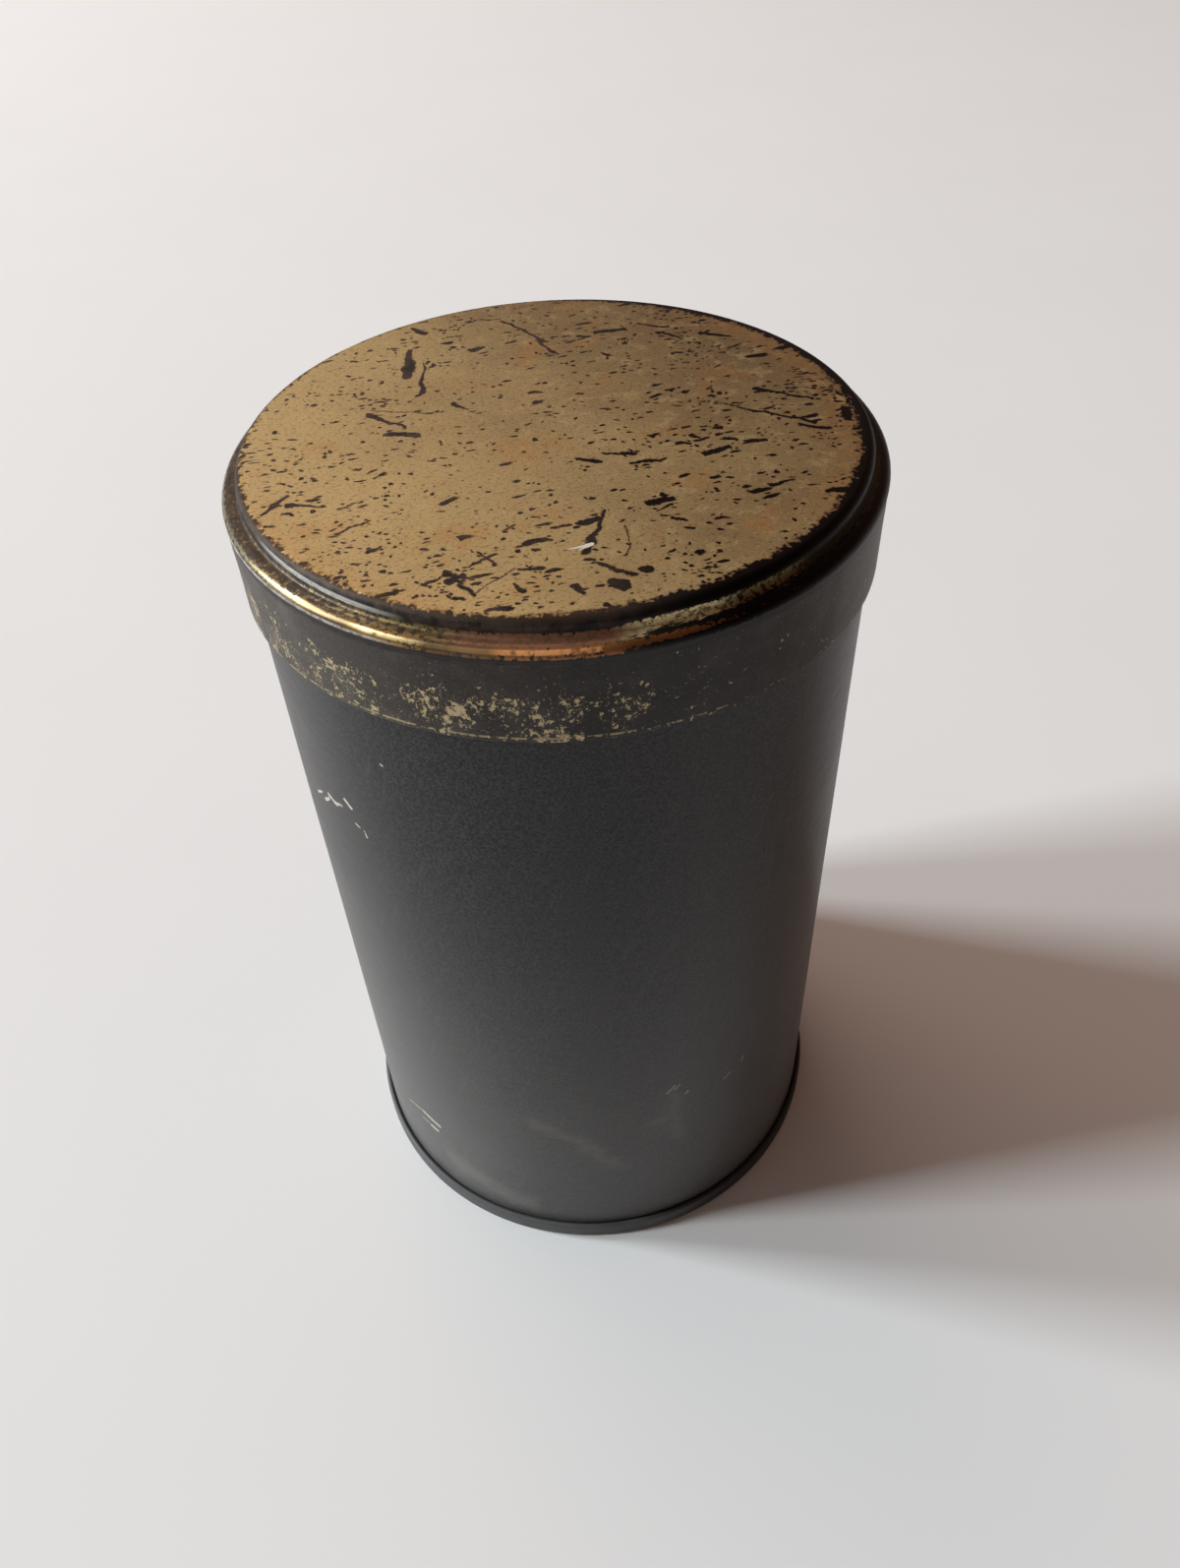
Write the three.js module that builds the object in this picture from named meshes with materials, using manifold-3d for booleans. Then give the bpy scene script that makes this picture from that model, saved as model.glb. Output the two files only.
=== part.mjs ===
// A round slip-lid cocoa tin in tinplate: a rolled body with a locked side seam and a rolled rim,
// a countersunk bottom end held by a double seam, and a pressed lid that lifts straight off.
// Millimetres, +Z up, origin on the floor at the middle of the base. The side seam faces +Y.
import * as THREE from "three";
import { mergeVertices } from "three/addons/utils/BufferGeometryUtils.js";
import Module from "manifold-3d";

// Driving sizes
const tinHeight = 159.2; // floor to the top of the lid's raised panel
const bodyRadius = 47.8; // outside of the body wall
const sheet = 0.3; // tinplate with its lacquer

// Lid: raised panel, step, bead, skirt and rolled edge
const lidHeight = 17.8; // top of the panel to the foot of the skirt
const lidFit = 0.3; // body wall to the rolled edge
const lidRoll = 0.425; // outer radius of the skirt's rolled edge
const beadProud = 0.1; // how far the bead stands out of the skirt
const beadRound = 1.5; // outer radius of the bead
const ledgeWidth = 1; // riser to the middle of the bead
const ledgeFillet = 0.5; // hollow round at the foot of the riser
const panelRise = 2.6; // ledge to the top of the panel
const panelRound = 1.3; // outer radius of the panel's edge

// Body: rolled rim at the mouth, hooked flange at the foot
const rimRoll = 0.6; // outer radius of the rim, which rolls inwards
const rimSeatGap = 0.15; // rim to the underside of the ledge

// Double seam at the foot, five layers of sheet
const seamHeight = 4;
const seamGap = 0.1; // between two layers
const footCorner = 0.55; // centreline radius of the two bends that stand on the floor
const hookClear = 0.6; // end of a hook to the bend that it points into

// Sealing compound under the double seam's top bend
const compoundClear = 0.08; // to the body's hook and to the bend
const compoundChamfer = 0.1;

// Bottom end: countersunk panel with one stiffening bead
const countersink = 3.6; // floor to the underside of the panel
const countersinkFillet = 0.8; // centreline radius where the panel turns down
const endBeadRadius = 36;
const endBeadWidth = 5;
const endBeadRise = 0.8;

// Locked side seam, four layers on the inside of the wall
const lockWidth = 3.2; // middle of one fold to the middle of the other
const lockMargin = 1.6; // plain wall left at the seam's two ends
const lockRoot = 1; // plain sheet from a fold to the wall that it grows from
const solderLeg = 0.9; // legs of the solder fillet

const overrun = 0.4; // how far cutters and roots run past the sheet that they meet
const weldDistance = 0.0001; // corners nearer than this are one corner

// Facets
const roundSegments = 64; // sides of every turned shape, a multiple of 4
const bendSteps = 4; // in a quarter turn that shows
const hookSteps = 2; // in a quarter turn inside a seam or a roll
const endBeadSteps = 6; // across the stiffening bead

const finishes = {
  bodyPaint: { color: 0x3c3b3c, roughness: 0.55, metalness: 0.3 },
  lidLacquer: { color: 0x9a7c48, roughness: 0.45, metalness: 0.6 },
  endPaint: { color: 0x333234, roughness: 0.5, metalness: 0.3 },
  solder: { color: 0x8f9090, roughness: 0.4, metalness: 0.9 },
  compound: { color: 0x6d6a5e, roughness: 0.8, metalness: 0 },
};

// Sizes that follow from the ones above
const halfSheet = sheet / 2;
const layer = sheet + seamGap; // middle of one seam layer to the middle of the next
const quarter = Math.PI / 2;

const wallRadius = bodyRadius - halfSheet; // centreline of the body wall
const skirtOuter = bodyRadius + lidFit + 2 * lidRoll;
const beadOuter = skirtOuter + beadProud;
const beadMiddle = beadOuter - beadRound;
const riserOuter = beadMiddle - ledgeWidth;
const ledgeTop = tinHeight - panelRise;
const rimTop = ledgeTop - sheet - rimSeatGap;

const lockHalf = lockWidth / 2;
const lockFoot = seamHeight + lockMargin;
const lockTop = rimTop - 2 * rimRoll - lockMargin;
const joggle = lockHalf + 2 * layer; // where the second edge turns in past the first fold

const wasm = await Module();
wasm.setup();

const at = (x, y) => new THREE.Vector2(x, y);

// Points of an arc about (x, y), from one angle to another, both ends included.
function arc(x, y, radius, from, to, steps) {
  return Array.from({ length: steps + 1 }, (_, i) => {
    const angle = from + ((to - from) * i) / steps;
    return at(x + radius * Math.cos(angle), y + radius * Math.sin(angle));
  });
}

// The closed outline of a strip of sheet whose middle follows the given points.
function strip(points) {
  const side = (sign) =>
    points.map((point, i) => {
      const before = points[Math.max(i - 1, 0)];
      const after = points[Math.min(i + 1, points.length - 1)];
      const arriving = point.clone().sub(before).normalize();
      const leaving = after.clone().sub(point).normalize();
      if (i === 0) arriving.copy(leaving);
      if (i === points.length - 1) leaving.copy(arriving);
      const along = arriving.clone().add(leaving).normalize();
      const offset = (sign * halfSheet) / along.dot(leaving);
      return at(point.x - along.y * offset, point.y + along.x * offset);
    });
  return [...side(1), ...side(-1).reverse()];
}

// A turned shape about +Z, from an outline of (radius, height) points.
function turned(outline) {
  const points = THREE.ShapeUtils.area(outline) > 0 ? [...outline] : [...outline].reverse();
  const onAxis = points.findIndex((point, i) => point.x === 0 && points.at(i - 1).x === 0);
  const start = Math.max(onAxis, 0);
  const ring = [...points.slice(start), ...points.slice(0, start)];
  if (onAxis < 0) ring.push(ring[0].clone());
  return new THREE.LatheGeometry(ring, roundSegments).rotateX(quarter);
}

// A straight bar along +Z, from an outline of (distance round the wall, depth inside it) points.
function upright(outline, foot, top) {
  const bent = outline.map(({ x, y }) => {
    const angle = quarter - x / wallRadius;
    const radius = wallRadius - y;
    return at(radius * Math.cos(angle), radius * Math.sin(angle));
  });
  const shape = new THREE.Shape(THREE.ShapeUtils.area(bent) > 0 ? bent : bent.reverse());
  const bar = new THREE.ExtrudeGeometry(shape, { depth: top - foot, bevelEnabled: false });
  return bar.translate(0, 0, foot);
}

// A closed geometry as a solid that can be joined and cut.
function solidOf(geometry) {
  const bare = new THREE.BufferGeometry();
  const loose = geometry.index ? geometry.toNonIndexed() : geometry;
  bare.setAttribute("position", loose.getAttribute("position"));
  const merged = mergeVertices(bare, weldDistance);
  return new wasm.Manifold(
    new wasm.Mesh({
      numProp: 3,
      vertProperties: merged.attributes.position.array,
      triVerts: new Uint32Array(merged.index.array),
    }),
  );
}

// A joined or cut solid back as a geometry.
function geometryOf(solid) {
  const mesh = solid.getMesh();
  return new THREE.BufferGeometry()
    .setAttribute("position", new THREE.BufferAttribute(mesh.vertProperties, 3))
    .setIndex(new THREE.BufferAttribute(mesh.triVerts, 1))
    .toNonIndexed();
}

// A named piece with its own finish.
function piece(name, geometry, finish) {
  geometry.computeVertexNormals();
  const mesh = new THREE.Mesh(geometry, new THREE.MeshStandardMaterial(finish));
  mesh.name = name;
  return mesh;
}

// Lid: one pressing, from the middle of its panel to the rolled edge of its skirt.
function lid() {
  const panel = tinHeight - halfSheet;
  const riser = riserOuter - halfSheet;
  const skirt = skirtOuter - halfSheet;
  const ledge = ledgeTop - halfSheet;
  const panelBend = panelRound - halfSheet;
  const ledgeBend = ledgeFillet + halfSheet;
  const beadBend = beadRound - halfSheet;
  const beadHeight = ledgeTop - beadRound;
  const tuckHeight = beadHeight - Math.sqrt(beadBend ** 2 - (beadBend - beadProud) ** 2);
  const rollBend = lidRoll - halfSheet;
  const rollHeight = tinHeight - lidHeight + lidRoll;
  const middle = [
    at(0, panel),
    ...arc(riser - panelBend, panel - panelBend, panelBend, quarter, 0, bendSteps),
    ...arc(riser + ledgeBend, ledge + ledgeBend, ledgeBend, 2 * quarter, 3 * quarter, hookSteps),
    ...arc(beadMiddle, beadHeight, beadBend, quarter, 0, bendSteps),
    at(skirt, tuckHeight),
    ...arc(skirt - rollBend, rollHeight, rollBend, 0, -3 * quarter, 3 * hookSteps),
  ];
  return piece("lid", turned(strip(middle)), finishes.lidLacquer);
}

// Body before its side seam: a rim rolled inwards, the wall, and a flange hooked outwards and up.
function bodyRing() {
  const rimBend = rimRoll - halfSheet;
  const hook = wallRadius + 2 * layer;
  const flangeHeight = halfSheet + 2 * layer;
  const middle = [
    ...arc(wallRadius - rimBend, rimTop - rimRoll, rimBend, 3 * quarter, 0, 3 * hookSteps),
    ...arc(hook - layer, flangeHeight, layer, 2 * quarter, 4 * quarter, 2 * hookSteps),
    at(hook, seamHeight - sheet - hookClear),
  ];
  return solidOf(turned(strip(middle)));
}

// Side seam: the first edge of the body sheet, folded back on itself.
function firstEdge() {
  return strip([
    at(-lockHalf - lockRoot, 0),
    ...arc(lockHalf, layer, layer, -quarter, quarter, 2 * hookSteps),
    at(seamGap - lockHalf, 2 * layer),
  ]);
}

// Side seam: the second edge, stepped inwards and hooked over the first.
function secondEdge() {
  return strip([
    at(joggle + lockRoot, 0),
    at(joggle, 0),
    at(joggle, 3 * layer),
    ...arc(-lockHalf, 2 * layer, layer, quarter, 3 * quarter, 2 * hookSteps),
    at(lockHalf - seamGap, layer),
  ]);
}

// Body: the ring, with a window cut where the two folded edges take its place.
function body() {
  const left = overrun - lockHalf - lockRoot;
  const right = joggle + lockRoot - overrun;
  const window = [at(left, -overrun), at(right, -overrun), at(right, overrun), at(left, overrun)];
  const edges = [firstEdge(), secondEdge()];
  const made = edges.reduce(
    (joined, edge) => joined.add(solidOf(upright(edge, lockFoot - overrun, lockTop + overrun))),
    bodyRing().subtract(solidOf(upright(window, lockFoot, lockTop))),
  );
  return piece("body_shell", geometryOf(made), finishes.bodyPaint);
}

// Solder down the inside corner between the wall and the hooked fold.
function solder() {
  const wall = halfSheet + seamGap;
  const fold = -lockHalf - layer - halfSheet - seamGap;
  const fillet = [at(fold, wall), at(fold - solderLeg, wall), at(fold, wall + solderLeg)];
  return piece("side_seam_solder", upright(fillet, lockFoot, lockTop), finishes.solder);
}

// Stiffening bead of the bottom end: one smooth wave across the panel.
function endBead(panel) {
  return Array.from({ length: endBeadSteps + 1 }, (_, i) => {
    const share = i / endBeadSteps;
    const radius = endBeadRadius + endBeadWidth * (share - 1 / 2);
    return at(radius, panel + (endBeadRise * (1 - Math.cos(4 * quarter * share))) / 2);
  });
}

// Bottom end: beaded panel, countersink wall, and the outer hook of the double seam.
function bottomEnd() {
  const panel = countersink + halfSheet;
  const sink = wallRadius - layer;
  const seamWall = wallRadius + 3 * layer;
  const foot = halfSheet + footCorner;
  const topBend = seamHeight - halfSheet - layer;
  const fillet = countersinkFillet;
  const middle = [
    at(0, panel),
    ...endBead(panel),
    ...arc(sink - fillet, panel - fillet, fillet, quarter, 0, bendSteps),
    ...arc(sink + footCorner, foot, footCorner, 2 * quarter, 3 * quarter, hookSteps),
    ...arc(seamWall - footCorner, foot, footCorner, 3 * quarter, 4 * quarter, hookSteps),
    ...arc(seamWall - layer, topBend, layer, 0, 2 * quarter, 2 * hookSteps),
    at(seamWall - 2 * layer, halfSheet + layer + halfSheet + hookClear),
  ];
  return piece("bottom_end", turned(strip(middle)), finishes.endPaint);
}

// Ring of sealing compound between the end of the body's hook and the bend over it.
function sealingCompound() {
  const inner = wallRadius + 2 * layer - halfSheet;
  const outer = inner + sheet;
  const top = seamHeight - sheet - compoundClear;
  const foot = seamHeight - sheet - hookClear + compoundClear;
  const section = [
    at(inner, foot),
    at(outer, foot),
    at(outer, top - compoundChamfer),
    at(outer - compoundChamfer, top),
    at(inner + compoundChamfer, top),
    at(inner, top - compoundChamfer),
  ];
  return piece("seam_compound", turned(section), finishes.compound);
}

const tin = new THREE.Group();
tin.add(lid(), body(), solder(), bottomEnd(), sealingCompound());

export default tin;
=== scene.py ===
"""A worn slip-lid cocoa tin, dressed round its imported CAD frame.

The lid, the body and the bottom end are drawn again as bent sheet, from the sizes of the CAD
source and at a finer pitch, and every piece gets a procedural finish. Shapes are worked out in
millimetres and made metres when a piece is finished.
"""

import logging
import math
from collections.abc import Callable, Sequence
from dataclasses import dataclass
from enum import Enum

import bmesh
import bpy
from mathutils import Matrix, Vector, noise


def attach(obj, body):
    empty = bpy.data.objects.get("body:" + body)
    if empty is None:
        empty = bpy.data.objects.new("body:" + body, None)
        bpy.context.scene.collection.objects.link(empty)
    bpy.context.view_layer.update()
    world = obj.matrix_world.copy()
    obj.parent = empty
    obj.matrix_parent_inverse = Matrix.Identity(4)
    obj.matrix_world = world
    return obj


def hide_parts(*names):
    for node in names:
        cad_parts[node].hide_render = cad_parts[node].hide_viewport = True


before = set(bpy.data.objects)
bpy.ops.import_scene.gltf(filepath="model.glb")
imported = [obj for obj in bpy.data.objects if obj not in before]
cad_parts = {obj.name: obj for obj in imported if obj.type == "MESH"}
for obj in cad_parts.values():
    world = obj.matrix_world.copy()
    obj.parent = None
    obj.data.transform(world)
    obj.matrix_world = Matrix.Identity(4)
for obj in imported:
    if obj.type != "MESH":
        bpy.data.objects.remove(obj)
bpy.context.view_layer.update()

log = logging.getLogger("cocoa_tin")

MM = 0.001  # metres in a millimetre
QUARTER = 90.0  # degrees
HALF_TURN = 180.0
FULL_TURN = 360.0
BACK = 150.0  # degrees from the front, where the marks of either side end
WELD = 1e-4  # millimetres, corners nearer than this are one corner
CREASE = 38.0  # degrees, edges that bend by more stay crisp

Mesh = bmesh.types.BMesh
Socket = bpy.types.NodeSocket
Material = bpy.types.Material
Colour = tuple[float, float, float, float]
Point = tuple[float, float]
Row = tuple[float, ...]


def srgb(red: int, green: int, blue: int) -> Colour:
    """Turns a colour as a screen shows it into a linear one.

    Args:
        red: Red, from 0 to 255.
        green: Green, from 0 to 255.
        blue: Blue, from 0 to 255.

    Returns:
        The linear colour, with full alpha.
    """
    shares = (channel / 255 for channel in (red, green, blue))
    linear = (s / 12.92 if s <= 0.04045 else ((s + 0.055) / 1.055) ** 2.4 for s in shares)
    return (*linear, 1.0)


class Slot(Enum):
    """The record's material slots of the pieces that are drawn here."""

    LID = "lid_lacquer"
    BODY = "body_paint"
    END = "end_paint"


class Body(Enum):
    """The CAD bodies that pieces ride on."""

    TIN = "tin"
    LID = "lid"


# Sheet work


class Section:
    """The middle line of a bent sheet, drawn run by run as a chain of edges."""

    def __init__(self, across: float, height: float) -> None:
        """Starts the line at a point.

        Args:
            across: Distance from the axis, or along the wall.
            height: Height, or depth.
        """
        self.mesh = bmesh.new()
        self.tip = self.mesh.verts.new((across, 0.0, height))
        self.chain = [self.tip]

    def straight(self, across: float, height: float, steps: int = 1) -> "Section":
        """Draws a straight run to a point.

        Args:
            across: Where the run ends, from the axis.
            height: Where the run ends, in height.
            steps: Edges in the run.

        Returns:
            The section, to draw on.
        """
        step = (Vector((across, 0.0, height)) - self.tip.co) / steps
        for _ in range(steps):
            made = bmesh.ops.extrude_vert_indiv(self.mesh, verts=[self.tip])
            self.tip = made["verts"][0]
            bmesh.ops.translate(self.mesh, verts=[self.tip], vec=step)
            self.chain.append(self.tip)
        return self

    def bend(self, across: float, height: float, degrees: float, steps: int) -> "Section":
        """Bends the sheet about a centre.

        Args:
            across: Centre of the bend, from the axis.
            height: Centre of the bend, in height.
            degrees: How far it bends, clockwise if positive.
            steps: Edges in the bend.

        Returns:
            The section, to draw on.
        """
        for _ in range(steps):
            made = bmesh.ops.spin(
                self.mesh,
                geom=[self.tip],
                cent=(across, 0.0, height),
                axis=(0.0, 1.0, 0.0),
                angle=math.radians(degrees / steps),
                steps=1,
                use_duplicate=False,
            )
            self.tip = next(e for e in made["geom_last"] if isinstance(e, bmesh.types.BMVert))
            self.chain.append(self.tip)
        return self

    def wave(self, width: float, rise: float, steps: int) -> "Section":
        """Presses one smooth stiffening bead across the sheet.

        Args:
            width: Width of the bead.
            rise: Height of the bead's crown.
            steps: Edges across it.

        Returns:
            The section, to draw on.
        """
        start = self.tip.co.copy()
        for i in range(1, steps + 1):
            share = i / steps
            lift = rise * (1 - math.cos(2 * math.pi * share)) / 2
            self.straight(start.x + width * share, start.z + lift)
        return self

    def points(self) -> list[Point]:
        """Gives the line's corners in the order they were drawn."""
        return [(vertex.co.x, vertex.co.z) for vertex in self.chain]


def turn_section(section: Section, segments: int) -> Mesh:
    """Turns a section all the way round the tin's axis.

    Args:
        section: The sheet's middle line.
        segments: Steps in the full turn.

    Returns:
        The turned sheet, without its thickness.
    """
    mesh = section.mesh
    bmesh.ops.spin(
        mesh,
        geom=mesh.verts[:] + mesh.edges[:],
        axis=(0.0, 0.0, 1.0),
        angle=math.radians(FULL_TURN),
        steps=segments,
        use_merge=True,
        use_duplicate=False,
    )
    return mesh


def face_outwards(mesh: Mesh, outside: Point) -> None:
    """Closes poles and seams and turns a sheet's faces to its weather side.

    Args:
        mesh: The sheet, in millimetres.
        outside: A place, as distance from the axis and height, where that side faces outwards.
    """
    bmesh.ops.remove_doubles(mesh, verts=mesh.verts[:], dist=WELD)
    bmesh.ops.recalc_face_normals(mesh, faces=mesh.faces[:])

    def away(face: bmesh.types.BMFace) -> float:
        """Gives how far a face is from the place."""
        middle = face.calc_center_median()
        return math.hypot(middle.xy.length - outside[0], middle.z - outside[1])

    probe = min(mesh.faces, key=away)
    middle = probe.calc_center_median()
    if probe.normal.dot(Vector((middle.x, middle.y, 0.0))) < 0:
        bmesh.ops.reverse_faces(mesh, faces=mesh.faces[:])


def make_uneven(mesh: Mesh, shift: Callable[[Vector], Vector]) -> None:
    """Gives hand-worn unevenness to a sheet, by how far each point shifts."""
    for vertex in mesh.verts:
        vertex.co += shift(vertex.co)


def smooth_step(low: float, high: float, value: float) -> float:
    """Gives how far a value has risen, smoothly from 0 at low to 1 at high."""
    share = min(max((value - low) / (high - low), 0.0), 1.0)
    return share * share * (3 - 2 * share)


def finish_sheet(
    name: str,
    mesh: Mesh,
    sheet: float,
    finishes: Sequence[Material],
) -> bpy.types.Object:
    """Gives a sheet its thickness about its middle and makes it an object in metres.

    Args:
        name: The piece's name.
        mesh: The sheet, in millimetres.
        sheet: Thickness, in millimetres.
        finishes: The weather side's material, then the inner side's.

    Returns:
        The finished piece.
    """
    bmesh.ops.scale(mesh, vec=(MM, MM, MM), verts=mesh.verts[:])
    data = bpy.data.meshes.new(name)
    mesh.to_mesh(data)
    mesh.free()
    for material in finishes:
        data.materials.append(material)
    piece = bpy.data.objects.new(name, data)
    bpy.context.scene.collection.objects.link(piece)
    wall = piece.modifiers.new("sheet", "SOLIDIFY")
    wall.thickness = sheet * MM
    wall.offset = 0.0
    wall.use_even_offset = True
    wall.use_quality_normals = True
    wall.material_offset = 1
    wall.material_offset_rim = 1
    seen = piece.evaluated_get(bpy.context.evaluated_depsgraph_get())
    thick = bpy.data.meshes.new_from_object(seen)
    piece.modifiers.clear()
    piece.data = thick
    thick.name = name
    thick.shade_smooth()
    thick.set_sharp_from_angle(angle=math.radians(CREASE))
    return piece


def seat(piece: bpy.types.Object, body: Body, node: str) -> None:
    """Puts a piece on its CAD body in place of a CAD node.

    Args:
        piece: The finished piece.
        body: The body that it rides on.
        node: The CAD node that it stands for.
    """
    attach(piece, body.value)
    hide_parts(node)


# Shader expressions


class Value:
    """A number that varies over a surface, with the operators that expressions use."""

    def __init__(self, tree: "Tree", socket: Socket) -> None:
        """Wraps an output of a tree."""
        self.tree = tree
        self.socket = socket

    def __add__(self, other: "Number") -> "Value":
        """Adds."""
        return self.tree.math("ADD", self, other)

    def __radd__(self, other: "Number") -> "Value":
        """Adds, number first."""
        return self.tree.math("ADD", other, self)

    def __sub__(self, other: "Number") -> "Value":
        """Subtracts."""
        return self.tree.math("SUBTRACT", self, other)

    def __rsub__(self, other: "Number") -> "Value":
        """Subtracts, number first."""
        return self.tree.math("SUBTRACT", other, self)

    def __mul__(self, other: "Number") -> "Value":
        """Multiplies."""
        return self.tree.math("MULTIPLY", self, other)

    def __rmul__(self, other: "Number") -> "Value":
        """Multiplies, number first."""
        return self.tree.math("MULTIPLY", other, self)

    def most(self, other: "Number") -> "Value":
        """Gives the larger of the two."""
        return self.tree.math("MAXIMUM", self, other)

    def size(self) -> "Value":
        """Gives the value without its sign."""
        return self.tree.math("ABSOLUTE", self)

    def rise(self, low: float, high: float) -> "Value":
        """Rises smoothly from 0 at low to 1 at high.

        Args:
            low: Where the rise starts. Above high, the value falls instead.
            high: Where the rise ends.

        Returns:
            A mask from 0 to 1.
        """
        flip = low > high
        inputs = {"Value": self, "From Min": min(low, high), "From Max": max(low, high)}
        ends = {"To Min": float(flip), "To Max": float(not flip)}
        settings = {"interpolation_type": "SMOOTHSTEP"}
        made = self.tree.node("ShaderNodeMapRange", settings, inputs | ends)
        return Value(self.tree, made.outputs["Result"])

    def band(self, low: float, high: float, soft: float) -> "Value":
        """Is 1 from low to high and fades to 0 over soft on both sides."""
        return self.rise(low - soft, low) * self.rise(high + soft, high)

    def toward(self, goal: "Number", share: "Number") -> "Value":
        """Moves towards a goal, all the way where the share is 1."""
        return self + (goal - self) * share


Number = Value | float
Shade = Socket | Colour


class Tree:
    """A node tree, in which one method adds every node."""

    def __init__(self, tree: bpy.types.NodeTree) -> None:
        """Starts with the tree empty."""
        self.nodes, self.links = tree.nodes, tree.links
        self.nodes.clear()

    def feed(self, socket: Socket, value: "Number | Shade | str") -> None:
        """Links a socket or sets its constant.

        Args:
            socket: The input.
            value: A value, another socket, or a constant.
        """
        if isinstance(value, Value):
            value = value.socket
        if isinstance(value, Socket):
            self.links.new(value, socket)
        else:
            socket.default_value = value

    def node(
        self, kind: str, settings: dict | None = None, inputs: dict | None = None
    ) -> bpy.types.Node:
        """Adds a node.

        Args:
            kind: Blender's type of node.
            settings: Properties, set first.
            inputs: Values or links, by the socket's name or number.

        Returns:
            The new node.
        """
        made = self.nodes.new(kind)
        for name, value in (settings or {}).items():
            setattr(made, name, value)
        for name, value in (inputs or {}).items():
            self.feed(made.inputs[name], value)
        return made

    def math(self, operation: str, *values: Number) -> Value:
        """Adds one Math node, with its inputs in order."""
        made = self.node("ShaderNodeMath", {"operation": operation}, dict(enumerate(values)))
        return Value(self, made.outputs[0])

    def mix(self, share: Number, first: Shade, second: Shade) -> Socket:
        """Mixes two colours, by the share of the second that shows."""
        made = self.node("ShaderNodeMix", {"data_type": "RGBA"}, {0: share, 6: first, 7: second})
        return made.outputs[2]


class Finish(Tree):
    """The node tree of one material."""

    def __init__(self, name: str) -> None:
        """Starts an empty material and its millimetre coordinates.

        Args:
            name: The material's name.
        """
        self.material = bpy.data.materials.new(name)
        self.material.use_nodes = True
        super().__init__(self.material.node_tree)
        metres = self.node("ShaderNodeTexCoord").outputs["Object"]
        self.place = self.vector("SCALE", metres, scale=1 / MM)
        parts = self.node("ShaderNodeSeparateXYZ", inputs={0: self.place})
        self.x, self.y, self.z = (Value(self, out) for out in parts.outputs)
        self.radius = self.math("SQRT", self.x * self.x + self.y * self.y)
        radians = self.math("ARCTAN2", self.x, 0.0 - self.y)
        self.turn = radians * math.degrees(1)

    def vector(
        self, operation: str, *values: Socket | tuple, scale: Number = 1.0
    ) -> Socket:
        """Adds one Vector Math node.

        Args:
            operation: What it works out.
            values: Its vectors, in order.
            scale: The factor, where it scales.

        Returns:
            Its vector.
        """
        inputs = dict(enumerate(values)) | ({3: scale} if operation == "SCALE" else {})
        made = self.node("ShaderNodeVectorMath", {"operation": operation}, inputs)
        return made.outputs["Vector"]

    def measure(self, operation: str, *values: Socket | tuple) -> Value:
        """Adds one Vector Math node that gives a number."""
        made = self.node("ShaderNodeVectorMath", {"operation": operation}, dict(enumerate(values)))
        return Value(self, made.outputs["Value"])

    def point(self, x: Number, y: Number, z: Number = 0.0) -> Socket:
        """Joins three numbers into coordinates."""
        return self.node("ShaderNodeCombineXYZ", inputs={0: x, 1: y, 2: z}).outputs[0]

    def laid(
        self, heading: float, long: float, wide: float, place: Socket | None = None
    ) -> Socket:
        """Turns and stretches the coordinates for marks that lie one way.

        Args:
            heading: Degrees from +X that the marks lie along.
            long: Size along them, in millimetres.
            wide: Size across them, in millimetres.
            place: Coordinates to start from, or none for the piece's own.

        Returns:
            Coordinates in which a mark is about one unit.
        """
        settings = {"vector_type": "TEXTURE"}
        inputs = {
            "Vector": place or self.place,
            "Rotation": (0.0, 0.0, math.radians(heading)),
            "Scale": (long, wide, wide),
        }
        return self.node("ShaderNodeMapping", settings, inputs).outputs["Vector"]

    def noise(
        self,
        size: float,
        detail: float = 2.0,
        rough: float = 0.5,
        place: Socket | None = None,
    ) -> Value:
        """Adds cloudy noise, about 0.5 in the middle.

        Args:
            size: Size of its clouds, in units of its coordinates.
            detail: Octaves.
            rough: How strong the finer octaves are.
            place: Coordinates, or none for the piece's own.

        Returns:
            The noise.
        """
        inputs = {
            "Vector": place or self.place,
            "Scale": 1 / size,
            "Detail": detail,
            "Roughness": rough,
        }
        return Value(self, self.node("ShaderNodeTexNoise", inputs=inputs).outputs[0])

    def waver(
        self, size: float, reach: float, place: Socket | None = None
    ) -> Socket:
        """Shifts coordinates about, so that outlines get ragged.

        Args:
            size: Size of the unevenness.
            reach: How far it shifts, both ways together.
            place: Coordinates, or none for the piece's own.

        Returns:
            The shifted coordinates.
        """
        start = place or self.place
        inputs = {"Vector": start, "Scale": 1 / size, "Detail": 2.0}
        cloud = self.node("ShaderNodeTexNoise", inputs=inputs).outputs["Color"]
        centred = self.vector("SUBTRACT", cloud, (0.5, 0.5, 0.5))
        return self.vector("ADD", start, self.vector("SCALE", centred, scale=reach))

    def scatter(
        self,
        place: Socket,
        kept: Number,
        small: float,
        large: float,
        dimensions: str = "3D",
    ) -> Value:
        """Scatters separate marks, one at most in each cell of the coordinates.

        Args:
            place: Coordinates in which a cell is one unit.
            kept: Share of the cells that hold a mark.
            small: Radius of the smallest mark, in cells.
            large: Radius of the largest mark, in cells.
            dimensions: 2D on a flat face, else 3D.

        Returns:
            Above 0 inside a mark, falling below 0 outside.
        """
        settings = {"voronoi_dimensions": dimensions}
        cells = self.node("ShaderNodeTexVoronoi", settings, {"Vector": place, "Scale": 1.0})
        draw = self.node("ShaderNodeSeparateColor", inputs={0: cells.outputs["Color"]})
        there = self.math("LESS_THAN", Value(self, draw.outputs[0]), kept)
        radius = small + Value(self, draw.outputs[1]) * (large - small)
        return radius * there - Value(self, cells.outputs["Distance"])

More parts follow.
